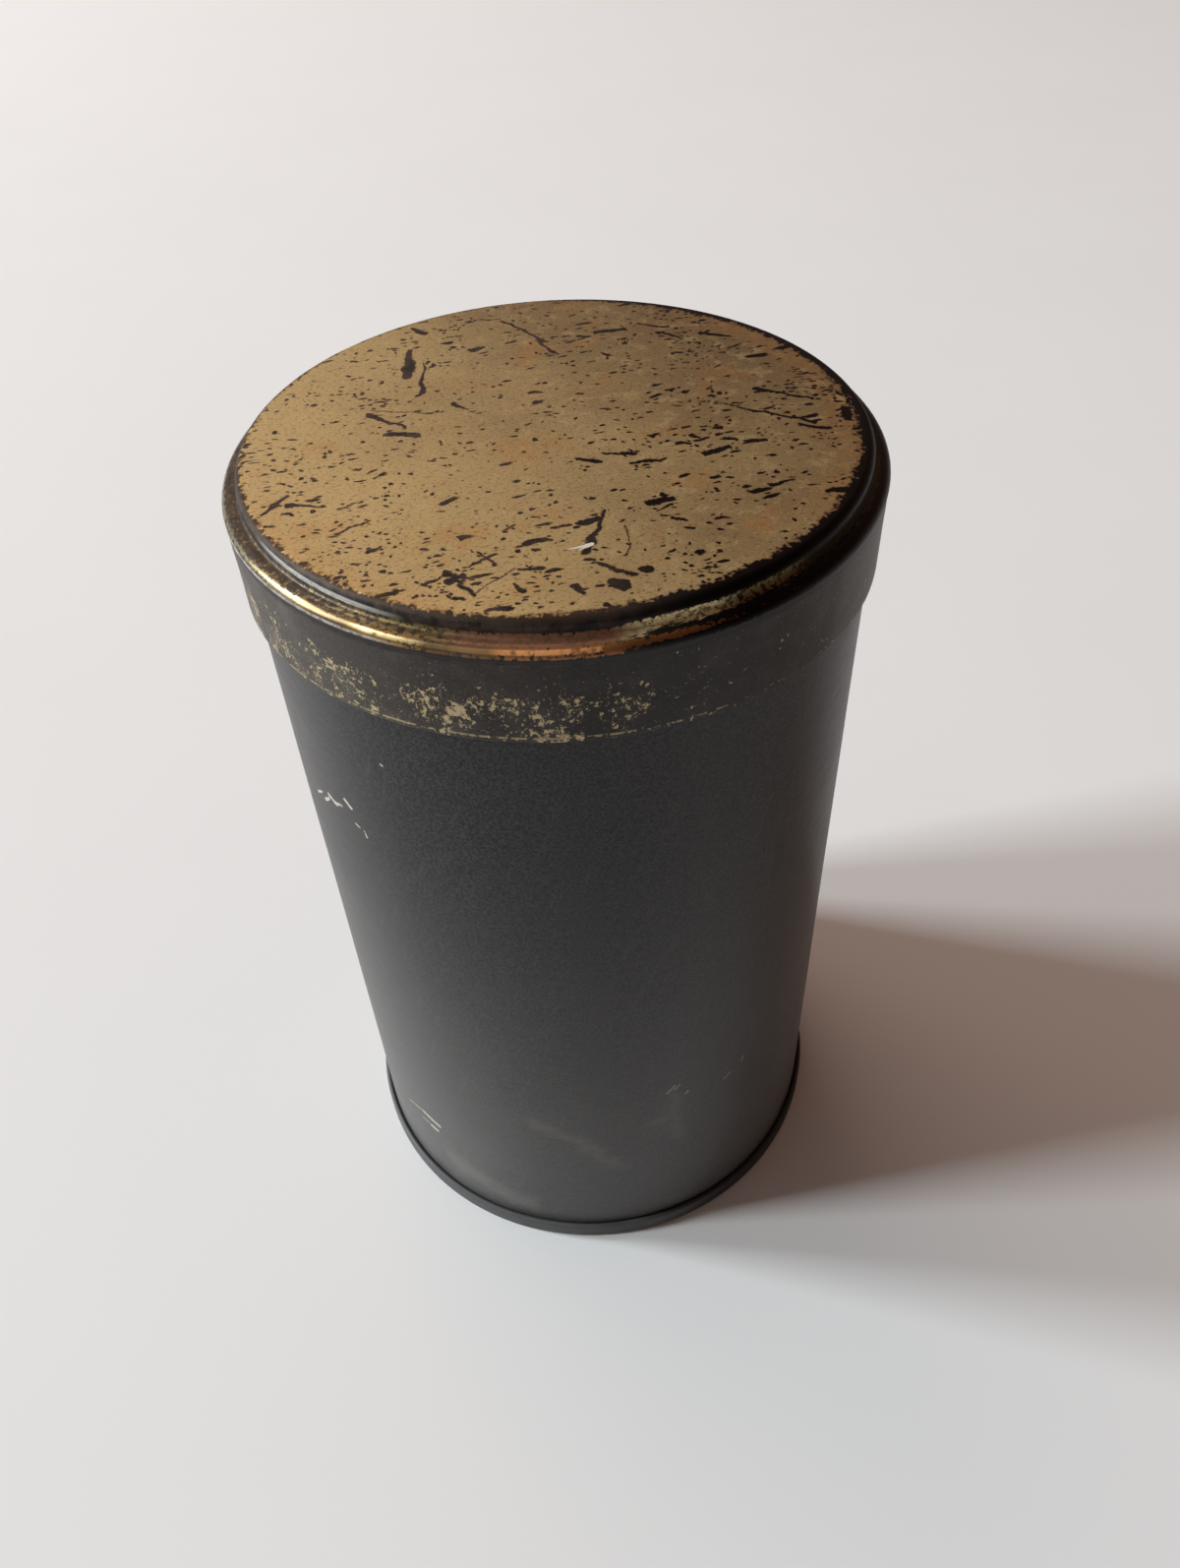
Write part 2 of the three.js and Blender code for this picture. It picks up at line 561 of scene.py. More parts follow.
    def bump(self, height: Value, depth: float) -> Socket:
        """Turns a height into a normal, with the depth of a height of 1 in millimetres."""
        inputs = {"Height": height, "Distance": depth * MM, "Strength": 1.0}
        return self.node("ShaderNodeBump", inputs=inputs).outputs["Normal"]

    def surface(self, **sockets: "Number | Shade") -> Material:
        """Ends the tree with a Principled shader.

        Args:
            sockets: Its inputs, with underscores for the spaces in their names.

        Returns:
            The material.
        """
        inputs = {name.replace("_", " "): value for name, value in sockets.items()}
        shader = self.node("ShaderNodeBsdfPrincipled", inputs=inputs)
        self.node("ShaderNodeOutputMaterial", inputs={"Surface": shader.outputs[0]})
        return self.material


# Marks that are placed one by one


@dataclass(frozen=True)
class Stroke:
    """A straight scratch or chip, in millimetres on its surface."""

    start: Point
    end: Point
    wide: float = 0.3
    tip: float | None = None  # width at its end, or none for the same width

    def depth(self, finish: Finish, flat: Socket) -> Value:
        """Measures how deep inside the stroke a point is.

        Args:
            finish: The finish that draws it.
            flat: Coordinates on the surface.

        Returns:
            Above 0 inside the stroke, falling below 0 outside.
        """
        run = Vector((self.end[0] - self.start[0], self.end[1] - self.start[1], 0.0))
        away = finish.vector("SUBTRACT", flat, (*self.start, 0.0))
        share = finish.measure("DOT_PRODUCT", away, tuple(run / run.length_squared))
        along = Value(finish, finish.node("ShaderNodeClamp", inputs={0: share}).outputs[0])
        nearest = finish.vector("SCALE", tuple(run), scale=along)
        half: Number = self.wide / 2
        if self.tip is not None:
            half = along * ((self.tip - self.wide) / 2) + half
        return half - finish.measure("DISTANCE", away, nearest)


def deepest(finish: Finish, strokes: Sequence[Stroke], flat: Socket) -> Value:
    """Joins strokes into one mark.

    Args:
        finish: The finish that draws them.
        strokes: The strokes.
        flat: Coordinates on the surface, in millimetres.

    Returns:
        Above 0 inside any of them, falling below 0 outside.
    """
    flat = finish.vector("MULTIPLY", flat, (1.0, 1.0, 0.0))
    joined = strokes[0].depth(finish, flat)
    for stroke in strokes[1:]:
        joined = joined.most(stroke.depth(finish, flat))
    return joined


def wall_strokes(rows: Sequence[Row], wall_radius: float) -> list[Stroke]:
    """Lays strokes on the unrolled wall, from degrees round it and heights."""
    scale = math.radians(1) * wall_radius
    return [Stroke((a * scale, low), (b * scale, high), wide) for a, low, b, high, wide in rows]


def panel_strokes(rows: Sequence[Row]) -> list[Stroke]:
    """Lays strokes on the lid's panel, in millimetres from its middle."""
    return [Stroke((a, b), (c, d), *widths) for a, b, c, d, *widths in rows]


# Chips of the wall: degrees and height at the start and at the end, and width
CHIPS: tuple[Row, ...] = (
    (-60.0, 111.5, -57.5, 113.0, 0.5), (-56.5, 112.0, -54.5, 113.4, 0.7),
    (-54.0, 114.6, -51.5, 114.0, 0.9), (-51.0, 114.5, -49.6, 114.9, 0.5),
    (-47.7, 117.3, -46.2, 116.3, 0.8), (-46.0, 113.2, -44.8, 112.8, 0.4),
    (-43.6, 112.6, -43.2, 111.4, 0.4), (-34.8, 130.7, -34.5, 130.6, 0.4),
    (-54.8, 23.2, -48.6, 25.4, 0.35), (-48.4, 25.2, -42.8, 24.6, 0.95),
    (-46.2, 21.8, -44.2, 21.8, 1.0), (-50.0, 21.6, -46.8, 22.2, 0.3),
    (15.9, 49.9, 17.6, 51.4, 0.7), (17.6, 50.1, 18.9, 51.3, 0.5),
    (20.4, 47.3, 20.9, 48.0, 0.6), (30.7, 45.7, 32.4, 46.4, 0.6),
    (35.7, 47.9, 36.2, 48.9, 0.5),
)

# Faint rubbed places near the foot, in the same way
SMUDGES: tuple[Row, ...] = (
    (-14.0, 42.5, -4.0, 37.0, 1.6), (-4.0, 37.0, 3.5, 27.5, 2.2),
    (17.2, 48.5, 18.4, 34.0, 1.4), (13.5, 40.5, 16.5, 41.5, 1.2),
    (-38.0, 14.0, -20.0, 10.0, 5.0),
)

# The pale scraped chip of the lid: start, end, width and any other width at the end
SCRAPE: tuple[Row, ...] = (
    (0.6, -31.6, 3.9, -30.7, 0.2, 0.9), (3.9, -30.7, 2.2, -31.9, 0.8, 0.2),
)

# Scratches of the lid, in the same way
SCRATCHES: tuple[Row, ...] = (
    (-29.5, -24.7, -25.8, -21.7, 0.5, 0.3), (-40.3, -18.5, -37.2, -14.6, 0.5, 0.8),
    (-37.1, -16.9, -35.6, -17.0, 0.7), (-35.0, -17.1, -32.5, -17.4, 0.6),
    (-30.2, -18.0, -27.2, -17.2, 0.35, 0.15), (-24.8, -29.2, -23.0, -28.6, 0.7, 0.4),
    (-12.3, -34.2, -8.5, -31.6, 0.3, 0.6), (-10.5, -31.2, -8.8, -34.3, 0.3, 0.4),
    (-15.0, -35.5, -11.6, -36.4, 0.8, 0.5), (-14.2, -36.8, -12.4, -35.6, 1.1, 0.6),
    (-12.9, -37.5, -11.2, -40.4, 0.6, 0.7), (-17.4, -36.9, -15.4, -36.1, 0.6, 0.3),
    (-11.2, -40.4, -6.3, -35.0, 0.14), (-5.7, -35.1, -2.8, -35.2, 0.4, 0.9),
    (-4.5, -29.6, -1.2, -28.9, 1.3, 0.4), (-7.2, -26.7, -5.9, -25.0, 0.5, 0.3),
    (-6.0, -38.2, -4.7, -39.5, 0.4, 0.7), (-22.9, -39.6, -20.8, -38.6, 0.8, 1.1),
    (-9.6, -43.6, -7.1, -43.2, 0.5, 1.2), (3.0, -32.4, 6.5, -22.8, 1.0, 0.25),
    (2.7, -25.6, 5.2, -24.9, 0.9, 1.3), (-1.2, -26.5, 1.5, -25.8, 0.4, 0.6),
    (3.0, -34.3, 4.1, -34.5, 0.7), (4.5, -35.1, 6.8, -36.7, 0.4, 0.9),
    (7.3, -37.2, 8.8, -38.2, 0.9, 0.6), (6.8, -39.9, 7.5, -40.0, 2.0),
    (9.8, -37.1, 10.4, -37.1, 1.3), (1.2, -39.9, 1.5, -41.4, 0.9, 0.7),
    (8.7, -26.5, 8.2, -33.6, 0.14), (12.2, -21.9, 15.2, -20.8, 0.9, 1.3),
    (13.0, -23.4, 15.4, -22.2, 0.3, 0.6), (15.2, -25.4, 16.8, -26.8, 0.7),
    (35.5, -21.5, 38.4, -21.6, 0.9, 1.4), (-22.6, 29.1, -22.7, 19.5, 1.0, 1.5),
    (-20.7, 24.5, -19.8, 14.0, 0.15, 0.9), (-27.3, 8.9, -16.8, 7.5, 0.2),
    (-27.6, 7.5, -22.4, 2.8, 1.0, 0.5), (-24.4, 1.1, -19.9, 1.0, 1.3, 0.9),
    (-15.2, 9.5, -12.7, 7.7, 0.8, 0.4), (-7.7, 38.0, -4.0, 34.0, 0.6),
    (-4.0, 34.0, -1.2, 30.2, 0.4), (-1.2, 30.2, 1.1, 24.3, 0.7, 0.4),
    (-12.7, 27.4, -10.5, 28.0, 0.9, 0.7), (-22.6, 37.3, -20.7, 35.2, 0.8, 1.3),
    (8.3, 32.0, 12.3, 32.5, 1.3, 0.9), (4.9, 30.9, 7.0, 30.6, 0.8),
    (14.9, 33.7, 20.0, 32.6, 0.4, 0.6), (19.0, 30.8, 21.7, 27.5, 0.7, 0.4),
    (25.4, 29.2, 30.2, 27.4, 0.8, 0.7), (31.7, 8.6, 35.8, 6.2, 1.2, 0.6),
    (35.8, 6.2, 38.8, 4.6, 0.5, 0.8), (25.4, 4.7, 38.2, -2.6, 0.25, 0.9),
    (35.5, -3.2, 39.6, -4.6, 0.7, 0.9), (21.3, -9.1, 24.5, -8.3, 1.4, 1.2),
    (24.2, -5.8, 26.0, -6.5, 0.8), (27.7, -7.1, 30.0, -7.1, 1.1, 0.9),
    (7.0, -8.0, 11.3, -8.5, 0.3, 0.7), (3.3, -8.9, 6.2, -10.1, 0.8, 0.6),
    (10.7, -10.9, 15.6, -10.1, 0.6, 0.5), (43.0, 1.0, 42.9, -2.3, 1.5, 1.1),
    (29.1, -19.0, 32.5, -18.1, 1.0, 0.5), (17.4, -6.2, 19.3, -6.1, 0.8, 0.5),
    (20.5, -5.1, 22.0, -5.0, 0.7),
)


# Finishes


@dataclass(frozen=True)
class Tinplate:
    """Bare tinned sheet, as on the inside of the tin."""

    bright: Colour = srgb(176, 174, 168)
    dull: Colour = srgb(132, 128, 120)
    rust: Colour = srgb(96, 60, 38)
    rust_kept: float = 0.05

    def build(self) -> Material:
        """Makes the material.

        Returns:
            The material.
        """
        finish = Finish("tinplate")
        clouds = finish.noise(9.0, 4.0, 0.6)
        streaks = finish.noise(1.0, 2.0, 0.5, finish.laid(0.0, 9.0, 0.7))
        tone = (clouds * 0.7 + streaks * 0.3).rise(0.3, 0.7)
        ragged = finish.waver(1.0, 0.5, finish.laid(20.0, 1.6, 1.3))
        specks = finish.scatter(ragged, self.rust_kept, 0.1, 0.4)
        rusty = specks.rise(0.0, 0.06)
        colour = finish.mix(rusty, finish.mix(tone, self.dull, self.bright), self.rust)
        return finish.surface(
            Base_Color=colour,
            Metallic=0.85 - 0.6 * rusty,
            Roughness=0.42 - 0.12 * tone + 0.3 * rusty,
            Normal=finish.bump(streaks * 0.4 + clouds * 0.6 - rusty * 0.4, 0.02),
        )


@dataclass(frozen=True)
class Solder:
    """Dull solder, run in and left rough."""

    light: Colour = srgb(158, 158, 156)
    dark: Colour = srgb(98, 98, 98)

    def build(self) -> Material:
        """Makes the material.

        Returns:
            The material.
        """
        finish = Finish("solder")
        runs = finish.noise(1.6, 3.0, 0.55)
        grain = finish.noise(0.25, 2.0)
        tone = (runs * 0.7 + grain * 0.3).rise(0.35, 0.65)
        return finish.surface(
            Base_Color=finish.mix(tone, self.dark, self.light),
            Metallic=0.8,
            Roughness=0.5 - 0.15 * tone,
            Normal=finish.bump(runs * 0.8 + grain * 0.2, 0.12),
        )


@dataclass(frozen=True)
class Sealant:
    """Rubbery sealing compound."""

    light: Colour = srgb(124, 119, 104)
    dark: Colour = srgb(94, 89, 76)

    def build(self) -> Material:
        """Makes the material.

        Returns:
            The material.
        """
        finish = Finish("sealing_compound")
        clouds = finish.noise(1.2, 3.0, 0.6)
        grain = finish.noise(0.2, 2.0)
        return finish.surface(
            Base_Color=finish.mix(clouds.rise(0.35, 0.65), self.dark, self.light),
            Roughness=0.75 + 0.15 * grain,
            Normal=finish.bump(clouds * 0.6 + grain * 0.4, 0.05),
        )


@dataclass(frozen=True)
class CharcoalPaint:
    """Matt charcoal paint on the wall, rubbed, smudged and chipped here and there, with painted
    shade, painted light and painted reflections.
    """

    grey: Colour = srgb(12, 11, 12)
    # painted shade: darker, cooler colour high on the front
    painted_top_shade: Colour = srgb(5, 6, 7)
    # painted shade: brownish dark of the right side, away from the lamps
    painted_right_shade: Colour = srgb(14, 10, 8)
    # grey grime, and painted light from the floor's bounce
    dust_and_painted_light: Colour = srgb(116, 113, 111)
    smudge: Colour = srgb(88, 86, 85)
    chip: Colour = srgb(178, 171, 156)
    # painted reflection: pale vertical lines on the right side
    reflection_streak: Colour = srgb(84, 78, 73)
    scuff: Colour = srgb(150, 146, 138)

    def build(self, wall_radius: float, lid_foot: float, rim_top: float) -> Material:
        """Makes the material.

        Args:
            wall_radius: Radius that distances round the wall are measured at.
            lid_foot: Height of the lid's edge, above which the paint is scuffed.
            rim_top: Height of the body's rim.

        Returns:
            The material.
        """
        finish = Finish("charcoal_paint")
        round_wall = finish.turn * (math.radians(1) * wall_radius)
        flat = finish.point(round_wall, finish.z)
        clouds = finish.noise(26.0, 3.0, 0.55)
        cloth = finish.noise(1.0, 3.0, 0.6, finish.laid(0.0, 5.0, 1.2, flat))
        grain = finish.noise(0.45, 3.0, 0.65)
        # Painted shade: the paint is darker and cooler high on the front, where the wall reflects
        # the dim room.
        painted_top_shade = finish.z.rise(70.0, 140.0) * finish.turn.band(-30.0, 12.0, 30.0)
        colour = finish.mix(painted_top_shade * 0.7, self.grey, self.painted_top_shade)
        # Painted shade: the right side, turned from the lamps, is tinted a brownish dark.
        colour = finish.mix(finish.turn.band(22.0, 130.0, 22.0) * 0.8, colour, self.painted_right_shade)
        mottle = (clouds * 0.35 + cloth * 0.3 + grain * 0.35).rise(0.34, 0.68)
        colour = finish.mix(mottle * 0.1, colour, self.smudge)
        speckle = grain.rise(0.36, 0.7)
        colour = finish.mix(speckle * 0.34, colour, self.smudge)
        rubs = finish.noise(1.0, 3.0, 0.6, finish.laid(68.0, 16.0, 1.6, flat)).rise(0.55, 0.8)
        # Mottle and rubs are real wear; on top of them, painted light makes the paint paler towards
        # the foot, where the floor's bounce falls, and paler on the left as a painted reflection.
        dust_and_painted_light_share = finish.z.rise(125.0, 5.0) * (0.34 + 0.1 * finish.x.rise(8.0, -45.0))
        dust_and_painted_light_share = dust_and_painted_light_share * (0.7 + 0.6 * mottle) + rubs * 0.1
        dust_and_painted_light_share = dust_and_painted_light_share + 0.12 * finish.x.rise(-24.0, -44.0) * finish.z.rise(20.0, 90.0)
        colour = finish.mix(dust_and_painted_light_share, colour, self.dust_and_painted_light)
        chips = deepest(finish, wall_strokes(CHIPS, wall_radius), finish.waver(0.7, 0.5, flat))
        chips = chips + (grain - 0.5) * 0.5
        chipped = chips.rise(-0.04, 0.12) * (1.0 - 0.6 * finish.turn.band(10.0, 60.0, 10.0))
        smudges = deepest(finish, wall_strokes(SMUDGES, wall_radius), finish.waver(4.0, 5.0, flat))
        smudges = smudges.rise(-2.6, 1.8) * 0.5
        colour = finish.mix(smudges * (0.06 + 0.3 * cloth), colour, self.chip)
        # Painted reflection: faint pale vertical lines on the right side.
        streaks = finish.noise(1.0, 2.0, 0.6, finish.laid(90.0, 60.0, 1.1, flat)).rise(0.55, 0.8)
        colour = finish.mix(streaks * finish.turn.band(44.0, 80.0, 10.0) * 0.5, colour, self.reflection_streak)
        scuff_grain = finish.noise(1.0, 3.0, 0.6, finish.laid(90.0, 11.0, 0.5, flat))
        rim = finish.z.rise(rim_top - 2.2, rim_top - 0.9) * 0.5
        patches = (clouds - 0.5) * 0.5 + finish.z.rise(lid_foot, rim_top) * 0.08
        scuffed = (scuff_grain + patches + rim).rise(0.68, 0.8)
        scuffed = scuffed * finish.z.rise(lid_foot - 1.0, lid_foot)
        colour = finish.mix(scuffed * (0.35 + 1.3 * rim), colour, self.scuff)
        colour = finish.mix(chipped, colour, self.chip)
        relief = grain * 0.35 + cloth * 0.3 + clouds - 0.8 * chipped - 0.4 * scuffed
        return finish.surface(
            Base_Color=colour,
            Metallic=1.4 * scuffed * rim,
            Roughness=0.34 + 0.14 * mottle - 0.06 * scuffed,
            Specular_IOR_Level=0.27,
            Normal=finish.bump(relief, 0.03),
        )


@dataclass(frozen=True)
class EndPaint:
    """Charcoal paint on the foot seam, with painted shade on its right, and dull tinplate under the
    bottom.
    """

    paint: Colour = srgb(72, 72, 72)
    rubbed: Colour = srgb(106, 104, 103)
    # painted shade for the right of the foot seam
    shade: Colour = srgb(14, 13, 14)
    chip: Colour = srgb(170, 165, 155)
    underside: Colour = srgb(118, 112, 102)
    underside_pale: Colour = srgb(146, 142, 134)
    tarnish: Colour = srgb(72, 60, 48)

    def build(self, seam_inside: float, seam_height: float) -> Material:
        """Makes the material.

        Args:
            seam_inside: Radius outside which the end is painted.
            seam_height: Height of the foot seam.

        Returns:
            The material.
        """
        finish = Finish("end_paint")
        ragged = finish.radius + finish.noise(0.8, 3.0) * 0.8
        painted = ragged.rise(seam_inside, seam_inside + 0.5)
        clouds = finish.noise(7.0, 3.0, 0.6)
        grain = finish.noise(0.3, 2.0, 0.6)
        stains = finish.noise(14.0, 4.0, 0.65).rise(0.45, 0.62)
        clean = finish.mix(clouds, self.underside, self.underside_pale)
        bare = finish.mix(stains * 0.8, clean, self.tarnish)
        rubbed = (clouds * 0.6 + grain * 0.4).rise(0.35, 0.8) * 0.3
        paint = finish.mix(rubbed, self.paint, self.rubbed)
        # Painted shade: the foot seam is darkened on its right, away from the lamps.
        paint = finish.mix(finish.turn.band(34.0, 140.0, 22.0) * 0.75, paint, self.shade)
        foot = finish.z.rise(0.5, 0.15)
        shoulder = finish.z.rise(seam_height - 0.45, seam_height - 0.1)
        wear = (finish.noise(0.9, 4.0, 0.65) + 0.3 * foot + 0.03 * shoulder).rise(0.68, 0.76)
        paint = finish.mix(wear, paint, self.chip)
        return finish.surface(
            Base_Color=finish.mix(painted, bare, paint),
            Metallic=(1.0 - painted) * (0.75 - 0.4 * stains) + painted * wear * 0.6,
            Roughness=0.46 + 0.1 * clouds + 0.12 * stains,
            Specular_IOR_Level=0.35,
            Normal=finish.bump(grain * 0.3 + clouds * 0.5 - wear * painted * 0.6, 0.04),
        )


@dataclass(frozen=True)
class LidLacquer:
    """Gold lacquer on the lid's panel, ledge and bead, worn to dark metal at the edges, with
    painted highlights, painted reflections and painted shade.
    """

    gold: Colour = srgb(185, 160, 110)
    brown: Colour = srgb(113, 90, 59)
    pale: Colour = srgb(192, 168, 120)
    orange: Colour = srgb(170, 112, 54)
    dark: Colour = srgb(60, 46, 37)
    black: Colour = srgb(15, 10, 9)
    edge_brown: Colour = srgb(60, 45, 33)
    fringe: Colour = srgb(90, 60, 38)
    bead_gold: Colour = srgb(150, 114, 64)
    # painted highlights and reflection tint of the bead
    bead_highlight: Colour = srgb(238, 208, 150)
    bead_reflection_tint: Colour = srgb(146, 98, 60)
    bead_orange_highlight: Colour = srgb(255, 176, 116)
    # painted shade of the bead's right side
    bead_right_shade: Colour = srgb(78, 46, 28)
    bead_dull: Colour = srgb(86, 72, 52)
    bead_far: Colour = srgb(118, 108, 84)
    ledge_olive: Colour = srgb(118, 98, 62)
    ledge_red: Colour = srgb(136, 96, 72)
    ledge_pale: Colour = srgb(234, 216, 164)
    skirt: Colour = srgb(40, 34, 30)
    # paler skirt tone for mottle and grain, also the painted reflection at its sides
    skirt_light_and_reflection: Colour = srgb(94, 86, 78)
    fleck: Colour = srgb(178, 160, 122)
    scrape: Colour = srgb(220, 214, 200)
    # painted highlight in the tuck under the bead
    tuck_highlight: Colour = srgb(176, 172, 166)
    # painted highlight on the rounded edge of the panel
    edge_highlight: Colour = srgb(200, 200, 199)
    ledge_border: Point = (3.0, 3.3)
    bead_border: Point = (5.5, 5.8)
    skirt_border: Point = (7.65, 7.95)

    def build(self, edge: float, height: float, foot: float) -> Material:
        """Makes the material.

        Args:
            edge: Radius at which the flat panel ends.
            height: Height of the panel.
            foot: Height of the skirt's edge.

        Returns:
            The material.
        """
        finish = Finish("lid_lacquer")
        along = finish.radius - edge + (height - finish.z)
        metal = self._metal(finish)
        worn = self._marks(finish).most(self._worn_edge(finish, along))
        fringe = worn.rise(-0.16, 0.0)
        bare = worn.rise(-0.01, 0.03)
        top = finish.mix(fringe * 0.8, self._lacquer(finish), self.fringe)
        browned = along.band(0.0, 1.3, 0.5) * finish.turn.band(-BACK, 0.0, 16.0) * 0.75
        top = finish.mix(bare, top, finish.mix(browned, metal, self.edge_brown))
        top = finish.mix(self._scrapes(finish), top, self.scrape)
        # Painted highlight: a pale grey, glossy band on the rounded edge at the front left, a
        # painted reflection of the bright floor.
        lean = along - finish.turn * 0.018
        edge_highlight_share = lean.band(3.2, 3.6, 0.36) * finish.turn.band(-52.0, -34.0, 10.0) * 0.95
        edge_highlight_share = edge_highlight_share * finish.noise(2.5, 3.0, 0.6).rise(0.15, 0.45)
        top = finish.mix(edge_highlight_share, top, self.edge_highlight)

        ledge, ledge_bare = self._ledge(finish, along, metal)
        bead, bead_bare = self._bead(finish, along, metal)
        skirt, flecked = self._skirt(finish, metal, foot)
        to_ledge = (along + finish.turn.band(14.0, BACK, 10.0) * 0.7).rise(*self.ledge_border)
        to_bead = (along + (finish.noise(0.6, 3.0) - 0.5) * 0.8).rise(*self.bead_border)
        to_skirt = (along + (finish.noise(0.7, 3.0) - 0.5) * 0.9).rise(*self.skirt_border)
        colour = finish.mix(to_ledge, top, ledge)
        colour = finish.mix(to_bead, colour, bead)
        colour = finish.mix(to_skirt, colour, skirt)
        patchy = finish.noise(1.4, 3.0, 0.7).rise(0.3, 0.55)
        # Painted shade: a dark line in the crease under the bead.
        colour = finish.mix(along.band(7.9, 8.4, 0.25) * 0.8, colour, self.black)
        # Painted highlight: a thin pale line where the bead meets the skirt, on the lit left only.
        rubbed = along.band(7.45, 7.75, 0.2) * finish.turn.band(-110.0, -32.0, 10.0) * patchy
        colour = finish.mix(rubbed * 0.85, colour, self.tuck_highlight)

        # Part of the painted shade on the right: the black metal there is made more metallic, so
        # that it stays dark.
        lid_right_shade_share = finish.turn.band(30.0, BACK, 26.0) * 0.6
        share = 0.5 - (0.1 - lid_right_shade_share) * bare + 0.5 * edge_highlight_share + 0.35 * browned
        share = share.toward(0.55 - (0.2 - lid_right_shade_share) * ledge_bare, to_ledge)
        # The painted orange highlight at the front is made less metallic, so that it shows as
        # colour.
        glow = finish.turn.band(-14.0, 4.2, 6.0) * 0.45
        share = share.toward(0.85 - glow - (0.5 - lid_right_shade_share) * bead_bare, to_bead)
        metallic = share.toward(0.12 + 0.3 * flecked, to_skirt)
        grain = finish.noise(0.3, 2.0, 0.6)
        edge_dull = along.band(0.4, 1.7, 0.4) * 0.14
        rough = 0.42 + 0.12 * grain - 0.04 * bare + edge_dull - 0.2 * edge_highlight_share
        rough = rough + (0.32 + 0.12 * ledge_bare - rough) * to_ledge * along.rise(3.7, 4.5)
        rough = rough.toward(0.29 + 0.16 * bead_bare, to_bead)
        rough = rough.toward(0.44 + 0.08 * grain, to_skirt)
        clouds = finish.noise(5.0, 3.0, 0.55)
        return finish.surface(
            Base_Color=colour,
            Metallic=metallic,
            Roughness=rough,
            Specular_IOR_Level=0.32,
            Normal=finish.bump(grain * 0.3 + clouds * 0.8, 0.04),
        )

    def _lacquer(self, finish: Finish) -> Socket:
        """Colours the sound lacquer of the panel, with painted light towards the front left and
        painted shade towards the back right.

        Args:
            finish: The finish that draws it.

        Returns:
            The colour.
        """
        # Painted light and shade: the lacquer grows paler towards the front left and browner
        # towards the back right, over broad random tone.
        across = finish.x * 0.0095 + finish.y * 0.0045
        broad = finish.noise(22.0, 3.0, 0.55)
        tone = (broad * 0.6 + across + 0.2).rise(0.05, 0.95)
        colour = finish.mix(tone, self.gold, self.brown)
        mid = finish.noise(2.6, 4.0, 0.65)
        colour = finish.mix(mid.rise(0.5, 0.72) * 0.4, colour, self.pale)
        grain = finish.noise(0.42, 3.0, 0.7)
        colour = finish.mix(grain.rise(0.5, 0.72) * 0.55, colour, self.brown)
        colour = finish.mix(grain.rise(0.46, 0.26) * 0.5, colour, self.pale)
        stains = finish.noise(10.0, 4.0, 0.6).rise(0.55, 0.68) * 0.35
        stain_grain = finish.noise(1.5, 3.0, 0.6)
        left_edge = finish.radius.rise(40.0, 44.5) * finish.turn.band(-58.0, -22.0, 14.0) * 0.22
        right_edge = finish.radius.rise(37.0, 44.5) * finish.turn.band(60.0, 140.0, 20.0) * 0.3
        stained = stains.most(left_edge).most(right_edge) * stain_grain.rise(0.25, 0.6)
        return finish.mix(stained, colour, self.orange)

    def _metal(self, finish: Finish) -> Socket:
        """Colours the bare, darkened metal, made blackest on the lid's right by painted shade.

        Args:
            finish: The finish that draws it.

        Returns:
            The colour.
        """
        # Painted shade: the bare metal turns black on the right, away from the lamps.
        lid_right_shade = finish.turn.band(20.0, BACK, 25.0) * 0.95
        tone = finish.noise(1.8, 3.0, 0.6).rise(0.35, 0.65) * (1.0 - lid_right_shade)
        return finish.mix(tone, self.black, self.dark)

    def _marks(self, finish: Finish) -> Value:
        """Scatters the flecks and strokes where the lacquer is worn through.

        Args:
            finish: The finish that draws them.

        Returns:
            Above 0 where the metal is bare.
        """
        ragged = finish.waver(0.5, 0.5, finish.waver(8.0, 5.0))
        crowd = finish.noise(9.0, 3.0, 0.6).rise(0.36, 0.66)
        rim = finish.radius.rise(28.0, 45.0)
        right = finish.x.rise(4.0, 24.0)
        front = finish.y.rise(-20.0, -34.0)
        side = right.most(front * 0.42)
        kept = 0.034 + crowd * (0.05 + 0.13 * side + 0.08 * rim)
        dots = finish.scatter(finish.laid(-4.0, 1.0, 0.75, ragged), kept * 1.5, 0.14, 0.42, "2D")
        dashes = finish.scatter(finish.laid(9.0, 2.1, 0.85, ragged), kept, 0.14, 0.42, "2D")
        large = finish.scatter(finish.laid(13.0, 4.6, 1.7, ragged), kept * 0.55, 0.12, 0.36, "2D")
        ripples = finish.waver(0.5, 0.6, finish.waver(5.0, 3.0))
        strokes = deepest(finish, panel_strokes(SCRATCHES), ripples)
        crumbling = (finish.noise(0.5, 2.0, 0.6) - 0.5) * 0.7
        return dashes.most(dots).most(large * 1.6).most((strokes + crumbling * 0.5) * 0.9)

    def _worn_edge(self, finish: Finish, along: Value) -> Value:
        """Wears the rounded edge of the panel, with a toothed border.

        Args:
            finish: The finish that draws it.
            along: Distance outwards and down from the panel's edge.

        Returns:
            Above 0 where the metal is bare.
        """
        teeth = (finish.noise(0.75, 3.0, 0.65) - 0.5) * 3.0
        bites = (finish.noise(3.0, 2.0) - 0.5) * 1.8
        right = finish.turn.band(24.0, BACK, 44.0)
        return (along - 0.6 + 1.5 * right + teeth + bites) * 0.25

